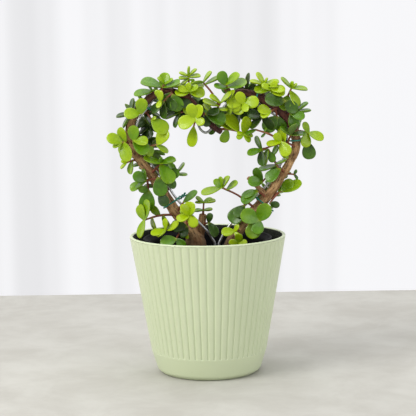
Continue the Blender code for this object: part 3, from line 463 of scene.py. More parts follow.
black = Finish("black_plastic", Specular_IOR_Level=0.07)
at = black.place()
scuffs = black.noise(black.stretched(at, (1.0, 1.0, 0.15)), 260.0, 4.0, 0.7, 0.4)
dust = black.noise(at, 45.0, 4.0, 0.65).step(0.52, 0.75)
black.shade(Base_Color=black.blend((0.005, 0.005, 0.006), (0.030, 0.029, 0.026), dust * 0.35),
            Roughness=0.48 + scuffs * 0.25 + dust * 0.2)
black.bumped(scuffs, 0.00006)
profile = nursery_profile()
nursery = closed_shell(turned(profile[:, :1], turn_angles(120), profile[:, 1:]),
                       (0, 0, NURSERY_FOOT), (0, 0, NURSERY_FOOT + NURSERY_WALL))
inner_pot = piece("inner_pot", [nursery], [black], ["nursery_pot"])
turns = turn_angles(DRAIN_HOLES)
drilled(inner_pot, DRAIN_HOLE_CIRCLE * np.stack((np.cos(turns), np.sin(turns)), axis=1),
        DRAIN_HOLE_RADIUS, 0.0, 0.012)
print("nursery pot:", len(inner_pot.data.polygons), "faces")

# %% [markdown]
# ## Potting mix
# Peat, bark fines and a few grains of perlite, crowned a little in the middle. The bed is a
# turned surface whose top is raised and sunk by waves in both directions. Loose crumbs lie on it:
# one small rough stone shape, placed hundreds of times with its own size and turn by array maths.

# %% Soil bed
SOIL_TOP = POT_HEIGHT - 0.020
SOIL_CROWN = 0.0015
SOIL_EDGE = 0.0499
SOIL_MIDDLE = SOIL_TOP - 0.0006
SOIL_FOOT = NURSERY_FOOT + 0.002
SOIL_COLUMNS = 180


def soil_height(x, y):
    """Height of the bed: the crown falls with the square of the radius, and waves roughen it."""
    crown = SOIL_MIDDLE - SOIL_CROWN * (np.hypot(x, y) / SOIL_EDGE) ** 2
    return (crown + 0.0005 * ripple(3, x, y, 9, (90, 90), (160, 420))
            + 0.0004 * ripple(4, y, x, 9, (120, 90), (420, 600)))


def soil_shell():
    """The bed's body: polar rings over the top, then down beside the pot's wall to its floor."""
    angle = turn_angles(SOIL_COLUMNS)
    top = turned(np.linspace(0.001, SOIL_EDGE, 52)[:, None], angle, 0.0)
    top[..., 2] = soil_height(top[..., 0], top[..., 1])
    heights = np.linspace(SOIL_TOP - 0.006, SOIL_FOOT, 8)
    low, high = NURSERY_FOOT + NURSERY_WALL, NURSERY_TOP - NURSERY_COLLAR
    reach = np.interp(heights, (low, high), (NURSERY_BASE_RADIUS - NURSERY_WALL, NURSERY_THROAT_RADIUS))
    side = turned(reach[:, None] - 0.0004, angle, heights[:, None])
    return closed_shell(np.concatenate((top, side))[::-1], (0, 0, SOIL_FOOT), (0, 0, SOIL_MIDDLE))


def stone_template(rings=3, columns=6):
    """A unit ball as a few rings and two poles."""
    up = np.linspace(-0.72, 0.72, rings)[:, None]
    grid = turned(np.sqrt(1 - up ** 2), turn_angles(columns), up)
    return with_poles(grid, (0, 0, -1), (0, 0, 1)), closed_faces(rings, columns)


def scattered(seed, count, sizes, flatness):
    """Rough stones on the bed: the unit ball, its points pushed in and out by a seeded share,
    scaled on three axes, turned about two and set down at a seeded place."""
    picks = np.random.default_rng(seed)
    ball, faces = stone_template()
    radius = SOIL_EDGE * 0.985 * np.sqrt(picks.random(count))
    angle = picks.random(count) * 2 * math.pi
    centre = np.stack((radius * np.cos(angle), radius * np.sin(angle), np.zeros(count)), axis=1)
    size = picks.uniform(*sizes, (count, 1)) * np.stack(
        (np.ones(count), picks.uniform(0.5, 0.9, count), picks.uniform(*flatness, count)), axis=1)
    points = ball[None] * (1 + 0.28 * picks.standard_normal((count, len(ball), 1)).clip(-1.2, 1.2))
    points = points * size[:, None]
    tilt, turn = picks.uniform(-0.6, 0.6, (count, 1)), picks.random((count, 1)) * 2 * math.pi
    x, y, z = np.moveaxis(points, 2, 0)
    y, z = y * np.cos(tilt) - z * np.sin(tilt), y * np.sin(tilt) + z * np.cos(tilt)
    x, y = x * np.cos(turn) - y * np.sin(turn), x * np.sin(turn) + y * np.cos(turn)
    centre[:, 2] = soil_height(centre[:, 0], centre[:, 1]) + 0.25 * size[:, 2]
    return copied_shell(np.stack((x, y, z), axis=2) + centre[:, None], faces,
                        {"shade": np.repeat(picks.random(count), len(ball))})


peat = Finish("potting_mix", Specular_IOR_Level=0.12)
at = peat.place()
clods = peat.noise(at, 240.0, 6.0, 0.7)
fibres = peat.cells(at, 520.0)
peat.shade(Base_Color=peat.blend((0.006, 0.004, 0.003), (0.036, 0.024, 0.015), clods.step(0.35, 0.75)),
           Roughness=0.80 + fibres * 0.2)
peat.bumped(clods + fibres * 0.6, 0.0012)

crumb = Finish("crumbs", Specular_IOR_Level=0.12)
at = crumb.place()
shade = crumb.mark("shade")
brown = crumb.blend((0.008, 0.006, 0.004), (0.066, 0.040, 0.022), shade.step(0.35, 1.0))
crumb.shade(Base_Color=crumb.blend(brown, (0.5, 0.47, 0.42), shade.step(0.985, 0.995) * 0.8),
            Roughness=0.85)
crumb.bumped(crumb.noise(at, 900.0, 4.0, 0.7), 0.0006)
soil_bed = piece("soil_bed", [soil_shell()], [peat], ["potting_soil"])
crumbs = piece("soil_crumbs", [scattered(11, 900, (0.0006, 0.0016), (0.5, 0.9)),
                               scattered(12, 160, (0.0016, 0.0034), (0.25, 0.45))], [crumb])
print("soil:", len(soil_bed.data.polygons), "faces, crumbs:", len(crumbs.data.polygons))

# %% [markdown]
# ## Where the plant grows
# The plant's own facts are tables of plain numbers in millimetres above the soil: the stems with
# their thickness, the wire's route, the ties, and for each side shoot where it starts, where it
# ends and how its leaves sit. Everything after this reads the same tables, so wood, wire, ties
# and leaves fit each other.

# %% Tables of the plant
# Wood: x, y, z and radius in millimetres, z above the soil, from the root upwards.
STEM_LEFT = (
    (-10, 0, -25, 8.0), (-10, 0, 0, 9.2), (-11, 0, 13, 8.8), (-14, 0, 22, 6.8), (-20, 0, 30, 5.6),
    (-28, 0, 40, 5.0), (-33, 0, 48, 4.8), (-39, 0, 58, 4.5), (-45, 0, 67, 4.2), (-52, 0, 78, 4.0),
    (-59, 0, 87, 3.9), (-65, 0, 97, 3.8), (-68, 0, 107, 3.8), (-68, 0, 116, 3.8), (-65, 0, 125, 3.6),
    (-60, 0, 133, 3.4), (-54, 0, 139, 3.2), (-48, 0, 144, 3.1), (-38, -1, 148, 3.0), (-27, -2, 148, 2.9),
    (-14, -3, 141, 2.8), (-3, -3, 127, 2.7), (5, -3, 118, 2.6), (13, -3, 112, 2.2),
)
STUMP_STUB = ((-8, 2, 12, 4.2), (-6, 2, 25, 3.8), (-4, 2, 37, 3.4))
STEM_RIGHT = (
    (17, 0, -25, 5.4), (18, 0, 0, 5.4), (20, 0, 10, 5.1), (25, 0, 19, 4.8), (32, 0, 28, 4.7),
    (39, 0, 37, 4.6), (49, 0, 48, 4.5), (56, 0, 56, 4.3), (61, 0, 63, 4.2), (66, 0, 71, 4.0),
    (71, 0, 78, 3.8), (75, 0, 86, 3.8), (79, 0, 94, 3.8), (80, 0, 103, 3.8), (78, 0, 113, 4.1),
    (73, 0, 122, 4.4), (67, 0, 129, 4.2), (59, 0, 136, 4.0), (50, 0, 141, 3.8), (41, 0, 145, 3.3),
    (30, 0, 147, 2.9), (20, 0, 145, 2.4),
)
CUT_TWIG = ((54, -1, 54, 2.2), (44, -4, 64, 2.0), (37, -6, 71, 1.8))
CROWN_STUB = ((22, 0, 145, 2.2), (18, 0, 150, 2.0), (16, 0, 156, 1.8))

# The wire: x, y, z in millimetres, from one end in the soil round the heart to the other.
HEART = (
    (6, -3, -70), (6, -3, 0), (6, -3, 13), (0, -5, 23), (-9, -4, 33), (-18, -1, 42), (-26, 0, 51),
    (-36, 0, 61), (-49, 0, 77), (-56, 0, 86), (-62, 0, 97), (-64, -1, 110), (-63, -2, 118),
    (-60, -2, 126), (-54, -1, 136), (-46, 3, 143), (-36, 5, 147), (-27, 5, 145), (-19, 5, 139),
    (-12, 5, 130), (-8, 5, 121), (-5, 5, 114), (0, 5, 111), (5, 5, 115), (9, 5, 122), (13, 4, 130),
    (20, 3, 138), (31, 2, 143), (44, 1, 144), (55, 0, 136), (64, 0, 124), (69, 0, 115), (71, 0, 110),
    (72, 0, 101), (71, 0, 93), (67, 0, 84), (60, 0, 73), (53, 0, 62), (43, 0, 53), (34, 0, 46),
    (28, -1, 38), (19, -2, 27), (11, -3, 14), (10, -3, 0), (10, -3, -70),
)

# Ties: name, x and z of the place on the stem in millimetres, and which way their tails point.
TIES = (
    ("tie_left_low", -31, 46, 0),
    ("tie_right_low", 49, 49, 170),
    ("tie_right_high", 78, 103, 200),
    ("tie_crown_left", -51, 138, -80),
    ("tie_crown_right", 45, 143, -60),
)

# Shoots: node, start, tip, youth and leaves. A start is a point in the wood, or a share of the way
# along the node's first shoot. Points are x, y, z in millimetres, z above the soil. Youth runs from
# 0, dark and full-grown, to 1, bright and new. A leaf is how far along the shoot it sits, where it
# points as seen from the front (degrees anticlockwise from the right), how far it leans to the
# front (degrees), and its length in millimetres.
SHOOTS = (
    ("crown_left", (-42, -2, 143), (-36, -5, 155), 0.6,
     ((0.5, 163, 5, 20), (0.5, 8, 25, 18), (1, 132, 10, 9), (1, 27, 5, 9), (0.7, 75, -10, 13.5))),
    ("crown_left", 0.35, (-40, -14, 141), 0.9,
     ((1, 85, 25, 10), (1, 255, 35, 8), (0.8, 120, 10, 8))),
    ("shoulder_left", (-49, 0, 141), (-47, -2, 149), 0.4,
     ((0.7, 187, 5, 17), (1, 120, 20, 6.5), (1, 60, 40, 8))),
    ("lobe_outer", (-62, -2, 130), (-57, -13, 130), 0.8,
     ((1, 85, 12, 14), (0.8, 183, 10, 14.5))),
    ("lobe_outer", 0.4, (-66, -3, 129), 0.25,
     ((1, 78, -10, 14.5), (1, 190, 0, 14), (1, -100, -15, 14.5))),
    ("lobe_inner", (-60, 3, 129), (-48, 6, 130), 0.1,
     ((0.4, -62, 0, 14.5), (0.8, -25, 10, 11), (1, -62, 5, 15.5))),
    ("lobe_inner", 0.5, (-48, -6, 124), 0.85,
     ((1, -38, 15, 18), (1, 30, 30, 5.5))),
    ("lobe_inner", 0.45, (-53, 9, 122), 0.1,
     ((1, -30, 0, 15.5), (1, -95, 0, 15.5), (1, -150, 0, 14.5), (0.6, 40, 0, 13.5))),
    ("inner_bright", (-63, -3, 94), (-43, -8, 102), 0.8,
     ((1, 78, 10, 15.5), (0.95, -35, 5, 12.5), (0.75, -110, 10, 10), (1, 15, 20, 5.5))),
    ("inner_bright", 0.6, (-50, 2, 95), 0.2,
     ((1, -75, 0, 14.5), (1, -10, 0, 13.5), (1, 60, 0, 13.5))),
    ("left_node", (-67, -1, 103), (-75, -6, 104), 0.8,
     ((1, 158, 8, 14.5), (0.4, 100, 10, 14.5), (0.8, -72, 20, 18),
      (0.7, -110, -25, 13.5), (1, -150, 10, 9))),
    ("left_front", (-66, -4, 103), (-64, -10, 106), 0.6,
     ((1, -8, 10, 13), (0.8, -62, 5, 17), (1, 100, -5, 13.5))),
    ("left_dark", (-67, 2, 110), (-61, 5, 110), 0.1,
     ((1, -28, 0, 20), (1, -95, -5, 14.5), (1, 45, 0, 11))),
    ("left_dark", 0.9, (-56, 8, 103), 0.15,
     ((1, -30, 0, 15.5), (1, -95, 0, 14.5), (0.6, 30, 0, 13.5))),
    ("left_small", (-59, -1, 88), (-71, -3, 86), 0.75,
     ((1, 225, 10, 8), (1, 165, 0, 5.5), (0.5, -98, 5, 12.5))),
    ("left_low", (-52, -2, 70), (-56, -4, 68), 0.5,
     ((1, 208, 10, 14), (0.9, 140, 10, 8))),
    ("left_low", 0.3, (-52, -5, 61), 0.5,
     ((1, 168, 10, 9.5), (1, -95, 0, 19))),
    ("left_skirt", (-29, -3, 38), (-56, -9, 35), 0.75,
     ((1, 63, 20, 20), (1, 108, 0, 14.5), (1, -105, 15, 17),
      (0.5, 130, -10, 11), (0.4, -60, -20, 13.5), (0.75, -80, -20, 13.5))),
    ("rim_left", (-14, -9, 18), (-37, -17, 27), 0.85,
     ((1, 92, 10, 10.5), (0.95, 27, 20, 13.5), (1, 197, 15, 14),
      (1, 225, 35, 11), (0.1, 60, 30, 5.5), (0.12, -60, 30, 5.5))),
    ("rim_left", 0.45, (-28, -20, 19), 0.3,
     ((1, 195, 10, 14.5), (1, -40, 15, 11))),
    ("tie_side", (-28, -3, 39), (-21, -6, 50), 0.35,
     ((1, 40, 5, 16),)),
    ("low_rosette", (-18, -6, 30), (-16, -19, 40), 0.9,
     ((1, 130, 15, 12.5), (1, 200, 25, 12.5), (1, 45, 20, 9),
      (0.8, 80, -5, 13.5), (1, -60, 25, 12.5), (0.7, 135, -20, 10))),
    ("low_rosette", 0.2, (-18, -14, 29), 0.2,
     ((1, 195, 10, 14.5), (1, 240, 20, 11))),
    ("centre_shoot", (-4, 0, 32), (-3, -2, 49), 0.7,
     ((1, 145, 5, 9), (1, 172, 10, 8), (1, 8, 5, 11),
      (1, 28, -15, 9), (0.45, 178, 20, 8.5), (0.45, 3, 20, 9))),
    ("centre_dark", (-4, 0, 28), (1, -3, 31), 0.1,
     ((1, 80, 0, 9), (1, -62, 5, 14.5))),
    ("inner_left_a", (-51, -3, 74), (-40, -6, 85), 0.5,
     ((1, 165, 5, 17), (1, 15, 5, 13.5), (0.95, 95, 10, 6.5), (0.9, -65, 15, 20))),
    ("inner_left_a", 0.5, (-38, -1, 73), 0.3,
     ((1, 10, 5, 14.5), (1, -60, 5, 14.5), (0.6, 80, 0, 12.5))),
    ("inner_left_b", (-37, 2, 56), (-28, 5, 74), 0.45,
     ((1, 55, 10, 13.5), (1, 0, 10, 11), (0.7, -20, 15, 14.5), (0.6, -8, 35, 13.5), (1, 125, 10, 12.5))),
    ("bark_left", (-45, -4, 68), (-43, -11, 73), 0.35,
     ((1, -72, 10, 17), (1, 60, 20, 8))),
    ("bark_left", 0.3, (-42, -12, 59), 0.15,
     ((1, -60, 10, 13), (1, 150, 10, 5.5))),
    ("bark_left", 0.5, (-54, -7, 70), 0.35,
     ((1, 170, 5, 13.5), (1, -120, 5, 13.5), (1, 100, 5, 11))),
    ("apex", (-13, 0, 143), (-15, -3, 162), 0.8,
     ((1, 88, 15, 9), (1, 160, 5, 9), (1, 40, 10, 10), (0.93, 10, 5, 11),
      (0.9, 185, 15, 9), (0.85, 225, 10, 9), (0.8, 0, 10, 5.5), (0.5, 175, 5, 14.5),
      (0.5, 5, 5, 13.5), (0.3, 120, 25, 6.5), (0.25, -30, 40, 6.5))),
    ("apex", 0.15, (-15, -9, 149), 0.85,
     ((1, 155, 10, 10), (1, 22, 10, 10), (1, 85, 15, 8), (0.6, -12, 0, 14.5), (0.6, 195, 0, 13.5))),
    ("notch_spray", (3, 0, 119), (13, -9, 138), 0.85,
     ((1, 150, 20, 12.5), (1, 45, 20, 14), (0.85, 168, 15, 15.5),
      (0.7, -10, 20, 10), (0.45, -55, 10, 12.5), (0.4, 140, 0, 13.5))),
    ("notch_spray", 0.9, (-2, -3, 156), 0.7,
     ((1, 150, 10, 12.5), (1, 55, 5, 12.5), (0.9, 22, -5, 17))),
    ("crown_mid", (23, -1, 145), (18, -8, 154), 0.5,
     ((1, 38, 5, 15.5), (0.75, 10, 5, 18), (0.6, 150, 15, 13.5), (1, 100, 5, 13.5), (0.45, -80, 10, 12.5))),
    ("crown_mid_back", (39, 2, 144), (36, 9, 147), 0.1,
     ((1, 75, 0, 17), (1, 20, 5, 12.5), (1, 150, 0, 14.5), (0.6, -95, -5, 15.5))),
    ("crown_mid_back", 0.5, (43, 10, 137), 0.05,
     ((1, -85, 0, 17), (1, -25, 0, 15.5), (1, 215, 0, 14.5))),
    ("crown_mid_back", 0.9, (30, 8, 134), 0.1,
     ((1, -100, 0, 18), (1, -45, 0, 17), (1, -155, 0, 17), (0.6, 0, 0, 15.5), (0.6, 180, 0, 15.5))),
    ("front_mid", (33, -2, 146), (33, -13, 137), 0.9,
     ((1, 112, 15, 12.5), (1, 12, 15, 14.5), (1, -60, 45, 10), (0.8, 175, 0, 17), (0.55, -112, 0, 15.5))),
    ("front_mid", 0.4, (20, -9, 140), 0.85,
     ((1, 150, 10, 12.5), (1, 62, 10, 11), (1, -38, 15, 13.5), (0.7, -120, 5, 14.5))),
    ("rosette", (-5, -2, 132), (-9, -15, 126), 0.9,
     ((1, 115, 15, 13.5), (1, -40, 30, 11), (1, 205, 5, 17), (1, 58, 22, 13.5), (0.6, 150, -10, 14.5))),
    ("rosette", 0.3, (-11, -5, 117), 0.7,
     ((1, -92, 8, 18),)),
    ("rosette", 0.4, (-23, -6, 130), 0.3,
     ((1, 200, 0, 14.5), (1, -110, 5, 14.5), (1, 130, 0, 13.5))),
    ("crown_glossy", (-31, -2, 148), (-29, -11, 146), 0.25,
     ((1, -22, 10, 17), (0.6, -108, -10, 14.5), (1, -68, 0, 15.5))),
    ("crown_glossy", 0.8, (-22, -9, 139), 0.15,
     ((1, -100, 5, 15.5), (1, -155, 0, 14.5), (0.7, -50, 0, 17))),
    ("crown_glossy", 0.8, (-37, -9, 140), 0.12,
     ((1, -92, 5, 15.5), (1, -140, 5, 14.5), (0.7, -40, 5, 14.5))),
    ("lobe_deep", (-19, 2, 146), (-19, 5, 132), 0.15,
     ((0.8, 205, 5, 17), (1, -115, 5, 13.5), (1, 190, 10, 12.5), (1, -58, 5, 14.5), (0.55, -15, 12, 13.5))),
    ("notch_dark", (-2, -3, 125), (0, -10, 129), 0.1,
     ((1, -24, 10, 19), (0.55, -80, -5, 11), (1, 35, -5, 14.5))),
    ("droop", (11, -2, 115), (33, -6, 111), 0.85,
     ((0.8, 125, 10, 20), (1, 80, 10, 15.5), (0.55, 112, -20, 17), (1, 185, 20, 6.5), (1, -140, 20, 8),
      (1, -52, 10, 10), (1, -25, 0, 9), (0.3, 78, 0, 13.5), (0.35, -110, 0, 12.5))),
    ("crown_right", (51, 0, 141), (52, -3, 154), 0.9,
     ((1, 128, 5, 12.5), (1, 172, 10, 13.5), (1, 60, 15, 6.5), (1, 5, 5, 13.5), (0.85, -8, 20, 13.5))),
    ("crown_right", 0.3, (58, -7, 149), 0.85,
     ((1, 150, 10, 10), (1, 62, 10, 9), (1, 12, 10, 12.5), (0.7, -15, 0, 14.5), (0.7, 175, 0, 13.5))),
    ("right_tip", (69, 0, 131), (76, -3, 150), 0.75,
     ((1, 140, 5, 13.5), (1, 75, 5, 6.5), (1, 32, 0, 6.5),
      (1, -2, 5, 14.5), (0.85, -66, 5, 15.5), (0.6, -110, 25, 14.5))),
    ("right_tip", 0.35, (70, -7, 139), 0.2,
     ((1, 162, 8, 19), (1, -45, 0, 14.5))),
    ("inner_bright_right", (64, -3, 132), (57, -11, 130), 0.95,
     ((1, 165, 15, 12.5), (1, 85, 15, 10), (1, 215, 20, 10.5))),
    ("inner_bright_right", 0.3, (63, -5, 125), 0.2,
     ((1, 228, 0, 17), (1, -60, -10, 14.5))),
    ("inner_bright_right", 0.8, (50, -7, 126), 0.15,
     ((1, -120, 0, 15.5), (1, -50, 0, 15.5), (1, 180, 0, 13.5))),
    ("right_shoulder", (73, -2, 126), (75, -8, 128), 0.3,
     ((1, -18, 10, 13), (1, -75, 0, 13.5), (1, 40, 5, 11))),
    ("right_shoulder", 0.8, (80, -4, 129), 0.25,
     ((1, 60, 0, 13.5), (1, 0, 0, 13.5), (1, 125, 0, 11))),
    ("right_spray", (80, 3, 112), (91, -3, 110), 0.65,
     ((1, 118, 5, 11), (1, -22, 5, 14.5), (0.85, -98, 10, 13.5))),
    ("right_spray", 0.75, (90, 0, 102), 0.1,
     ((1, -80, 0, 16),)),
    ("right_cluster", (81, -3, 97), (66, -10, 103), 0.85,
     ((1, 125, 10, 10), (1, 190, 15, 13.5), (1, -60, 20, 14.5),
      (0.8, -85, -10, 15.5), (0.8, 100, -10, 13.5))),
    ("right_cluster", 0.6, (75, -9, 109), 0.3,
     ((1, 78, 10, 13.5), (1, 12, 5, 13.5), (1, 150, 0, 12.5))),
    ("right_cluster", 0.85, (44, -9, 114), 0.35,
     ((1, 92, -5, 15.5), (1, 178, 5, 10), (0.7, 60, 0, 4.5), (0.65, -130, 5, 5.5))),
    ("right_cluster", 0.5, (49, -6, 96), 0.3,
     ((1, 200, 5, 13.5), (1, -80, 5, 14.5), (1, 110, 5, 13.5))),
    ("red_shoot", (67, -2, 70), (55, -4, 96), 0.45,
     ((1, 180, 5, 10), (0.98, -108, 0, 15.5), (0.9, -70, 10, 10), (0.45, 15, 5, 11),
      (0.4, 200, 5, 17), (0.35, 232, 10, 12.5), (0.7, 55, 0, 11))),
    ("red_shoot", 0.3, (49, -6, 67), 0.25,
     ((1, 200, 0, 13.5), (1, 110, 5, 14.5))),
    ("right_glossy", (69, -3, 75), (65, -10, 79), 0.3,
     ((1, 222, 10, 16),)),
    ("stub_leaves", (69, 0, 73), (78, -1, 73), 0.3,
     ((1, 65, 5, 5), (1, -60, 5, 5.5))),
    ("heart_leaf", (56, 0, 52), (68, -3, 58), 0.65,
     ((1, 25, 12, 19), (0.9, 62, -10, 14.5), (0.6, 52, 0, 10))),
    ("heart_leaf", 0.1, (56, -5, 48), 0.05,
     ((1, -15, 5, 9),)),
    ("low_right_a", (53, -3, 52), (45, -8, 59), 0.3,
     ((1, 222, 10, 18), (1, 205, -5, 15.5))),
    ("hole_sprig", (43, -2, 43), (13, -8, 63), 0.6,
     ((1, 202, 5, 19), (1, 135, 5, 10), (1, 92, 0, 10), (0.97, 62, 5, 12.5), (0.85, 33, 5, 12.5))),
    ("hole_sprig", 0.3, (33, -5, 46), 0.2,
     ((1, 234, 0, 19), (1, 228, 25, 13.5))),
    ("low_node", (41, -3, 42), (46, -16, 34), 0.4,
     ((1, 147, 15, 18.5), (1, 62, 10, 17.5), (1, 238, 15, 18), (1, 255, 35, 14.5))),
    ("rim_right", (28, -4, 24), (24, -12, 24), 1,
     ((1, 185, 10, 12), (1, 60, 30, 8), (1, -50, 30, 6.5))),
    ("rim_right", 0.3, (27, -14, 14), 0.75,
     ((1, 80, 20, 10), (1, 172, 20, 9), (1, 5, 20, 9))),
)

# Long shoots behind the heart: node, which stem, and the shares of the stem where each one leaves
# the wood and ends.
BACK_SHOOTS = (
    ("back_left_low", "left", 0.30, 0.50),
    ("back_left_high", "left", 0.55, 0.78),
    ("back_right_low", "right", 0.28, 0.50),
    ("back_right_high", "right", 0.56, 0.80),
    ("back_left_crown", "left", 0.78, 0.97),
    ("back_right_crown", "right", 0.78, 1.0),
)
BACK_OFFSET = 0.012  # least distance of a long shoot behind the stem's centre line
BACK_CLEARANCE = 0.006  # and behind the stem's surface
BACK_PAIRS = 7
BACK_FIRST_PAIR = 0.30  # share of the shoot
BACK_FIRST_TURN = 30.0  # degrees round the shoot
BACK_LEAF = 15.5  # oldest leaf, millimetres
BACK_LEAF_STEP = 1.0  # each pair is smaller than the last by this
BACK_LEAF_SWEEP = 0.5  # how much a leaf points along the shoot, against 1 away from it
BACK_YOUTH = 0.3
SOIL_LEVEL = Vector((0.0, 0.0, SOIL_TOP))
print(len(SHOOTS), "shoots listed")

# %% [markdown]
# ## Routes
# A few knots make a smooth route when a Catmull-Rom curve is run through them: each stretch is a
# cubic that passes through its two knots, with the slope taken from the knots on either side.

# %% Smooth routes and round bars
GAP = 0.0003  # clearance between pieces that touch
WIRE_RADIUS = 0.0011
TIE_RADIUS = 0.0008
TIE_PITCH = 0.0024
TIE_TAIL = 0.0060
WOOD_SPACING = 6.5  # millimetres between knots
WIRE_SPACING = 8.0


def smooth_route(points, spacing):
    """Points about one spacing apart on a Catmull-Rom curve through rows of x, y, z and more."""
    rows = np.array(points, float)
    padded = np.vstack([2 * rows[0] - rows[1], rows, 2 * rows[-1] - rows[-2]])
    route = []
    for a, b, c, d in zip(padded, padded[1:], padded[2:], padded[3:]):
        steps = max(1, round(np.linalg.norm((c - b)[:3]) / spacing))
        t = (np.arange(steps) / steps)[:, None]
        route.append(0.5 * (2 * b + (c - a) * t + (2 * a - 5 * b + 4 * c - d) * t ** 2
                            + (3 * b - a - 3 * c + d) * t ** 3))
    return np.concatenate(route + [rows[-1:]])


def wood_route(rows, spacing):
    """Centre line in metres and radii of a piece of wood given in millimetres above the soil."""
    route = smooth_route(rows, spacing) * MM
    return route[:, :3] + np.array(SOIL_LEVEL), route[:, 3]


def unit(rows):
    return rows / np.linalg.norm(rows, axis=-1, keepdims=True)


def bar_shell(path, radii, columns, across, lumps=None, blunt=0.5, marks=None, finish=0):
    """A round bar: ring k is centre k + radius (cos a · side + sin a · other), where side is
    square to the path and to the direction given as across. Both ends close in a low dome.
    Its grain runs round and along it."""
    tangent = unit(np.gradient(path, axis=0))
    dome = np.radians((68, 42, 18))
    caps = len(dome)
    start = path[0] - tangent[0] * (radii[0] * blunt * np.sin(dome))[:, None]
    end = path[-1] + tangent[-1] * (radii[-1] * blunt * np.sin(dome[::-1]))[:, None]
    run = run_length(path)
    centres = np.concatenate((start, path, end))
    sizes = np.concatenate((radii[0] * np.cos(dome), radii, radii[-1] * np.cos(dome[::-1])))
    tangents = np.pad(tangent, ((caps, caps), (0, 0)), mode="edge")
    runs = np.pad(run, caps, mode="edge")
    side = unit(np.cross(tangents, across))
    other = np.cross(tangents, side)
    angle = turn_angles(columns)
    swell = 1 if lumps is None else 1 + lumps(angle[None, :], runs[:, None])
    reach = sizes[:, None] * swell * np.ones(columns)
    grid = centres[:, None] + reach[..., None] * (
        np.cos(angle)[:, None] * side[:, None] + np.sin(angle)[:, None] * other[:, None])
    stored = {"grain": with_poles(turned(sizes[:, None], angle, runs[:, None]),
                                  (0, 0, runs[0]), (0, 0, runs[-1]))}
    for name, values in (marks or {}).items():
        spread = np.repeat(np.pad(values, caps, mode="edge"), columns)
        stored[name] = np.concatenate((spread, values[:1], values[-1:]))
    return closed_shell(grid, path[0] - tangent[0] * radii[0] * blunt,
                        path[-1] + tangent[-1] * radii[-1] * blunt, stored, finish)


def run_length(path):
    """How far along the path each of its points is."""
    return np.concatenate(([0], np.cumsum(np.linalg.norm(np.diff(path, axis=0), axis=1))))


woods = [wood_route(rows, 1.0) for rows in (STEM_LEFT, STUMP_STUB, STEM_RIGHT, CUT_TWIG, CROWN_STUB)]
print("wood:", [round(float(run_length(centres)[-1]) / MM) for centres, _ in woods], "mm long")

# %% [markdown]
# ## Wood
# Jade wood is soft and swollen, tan where it is old and wine-red where it is young. Its bark has
# fine lengthwise cracks, ring scars where leaves fell, and knobs where twigs were cut. The big
# swellings change the outline, so they are in the radius; cracks and scars are in the finish,
# drawn on a grain coordinate that runs round and along each stem and so follows its bends.

# %% Stems and cut stubs
DARK_BASE_HEIGHT = 0.045  # above the soil, up to which the bark is coloured darker


def knobs(seed, scars):
    """Swelling of a stem: slow waves round and along it, and a low ring at each scar."""
    def swell(angle, run):
        rings = np.exp(-((run[..., None] - scars) / 0.0011) ** 2).sum(axis=-1)
        return (0.10 * ripple(seed, angle, run, 7, (1, 90), (3, 420))
                + 0.035 * ripple(seed + 1, angle, run, 8, (3, 500), (7, 1500)) + 0.07 * rings)
    return swell


def stem_shells(wood_rows, seed):
    """Bars along the routes of one stem and of the stubs that grow from it. A stem's wood is
    young from its middle up; near the soil it is coloured darker."""
    picks = np.random.default_rng(seed)
    shells = []
    for number, rows in enumerate(wood_rows):
        path, radii = wood_route(rows, 1.3)
        scars = np.cumsum(picks.uniform(0.009, 0.019, 24))
        scars = scars[scars < run_length(path)[-1]]
        young = np.full(len(path), 0.45)
        if number == 0:
            young = np.clip((np.linspace(0, 1, len(path)) - 0.45) / 0.4, 0, 1)
        low = np.clip(1 - (path[:, 2] - SOIL_TOP) / DARK_BASE_HEIGHT, 0, 1)
        shells.append(bar_shell(path, radii * 1.02, 28, (0.0, 1.0, 0.0), knobs(seed + number, scars),
                                marks={"young": young, "low": low}))
    return shells


bark = Finish("bark", Specular_IOR_Level=0.35)
grain = bark.mark("grain", "Vector")
young, low = bark.marks("young", "low")
cracks = bark.noise(bark.stretched(grain, (1.0, 1.0, 0.16)), 900.0, 5.0, 0.65, 0.3)
plates = bark.noise(bark.stretched(grain, (1.0, 1.0, 0.35)), 260.0, 4.0, 0.6)
scars = bark.noise(bark.stretched(grain, (0.12, 0.12, 1.0)), 420.0, 3.0, 0.6)
tan = bark.blend((0.240, 0.115, 0.045), (0.640, 0.390, 0.185), plates.step(0.32, 0.66))
tan = bark.blend(tan, (0.070, 0.034, 0.016), cracks.step(0.54, 0.68) * 0.85)
wine = bark.blend((0.060, 0.018, 0.016), (0.190, 0.065, 0.045), plates.step(0.3, 0.75))
wood = bark.blend(tan, wine, (young + (plates - 0.5) * 0.8).step(0.35, 0.75))
# Darker towards the soil.
wood = bark.blend(wood, (0.050, 0.032, 0.020), (low + (plates - 0.5) * 0.9).step(0.35, 0.9) * 0.8)
wood = bark.blend(wood, (0.420, 0.300, 0.190), scars.step(0.66, 0.76) * 0.4)
bark.shade(Base_Color=wood, Roughness=0.62 + cracks * 0.25 - young * 0.15)
bark.bumped(plates * 0.8 - cracks.step(0.5, 0.75) * 0.7 + scars * 0.5, 0.0011)
stems = [piece("left_stem", stem_shells((STEM_LEFT, STUMP_STUB), 21), [bark], ["stem_left"]),
         piece("right_stem", stem_shells((STEM_RIGHT, CUT_TWIG, CROWN_STUB), 31), [bark],
               ["stem_right"])]
print("stems:", sum(len(item.data.polygons) for item in stems), "faces")

# %% [markdown]
# ## The wire
# Galvanised wire, one length bent to a heart with both legs in the soil. The frame's wire is
# pushed clear of the wood at each knot; the fine one runs a smooth curve through those same knots.

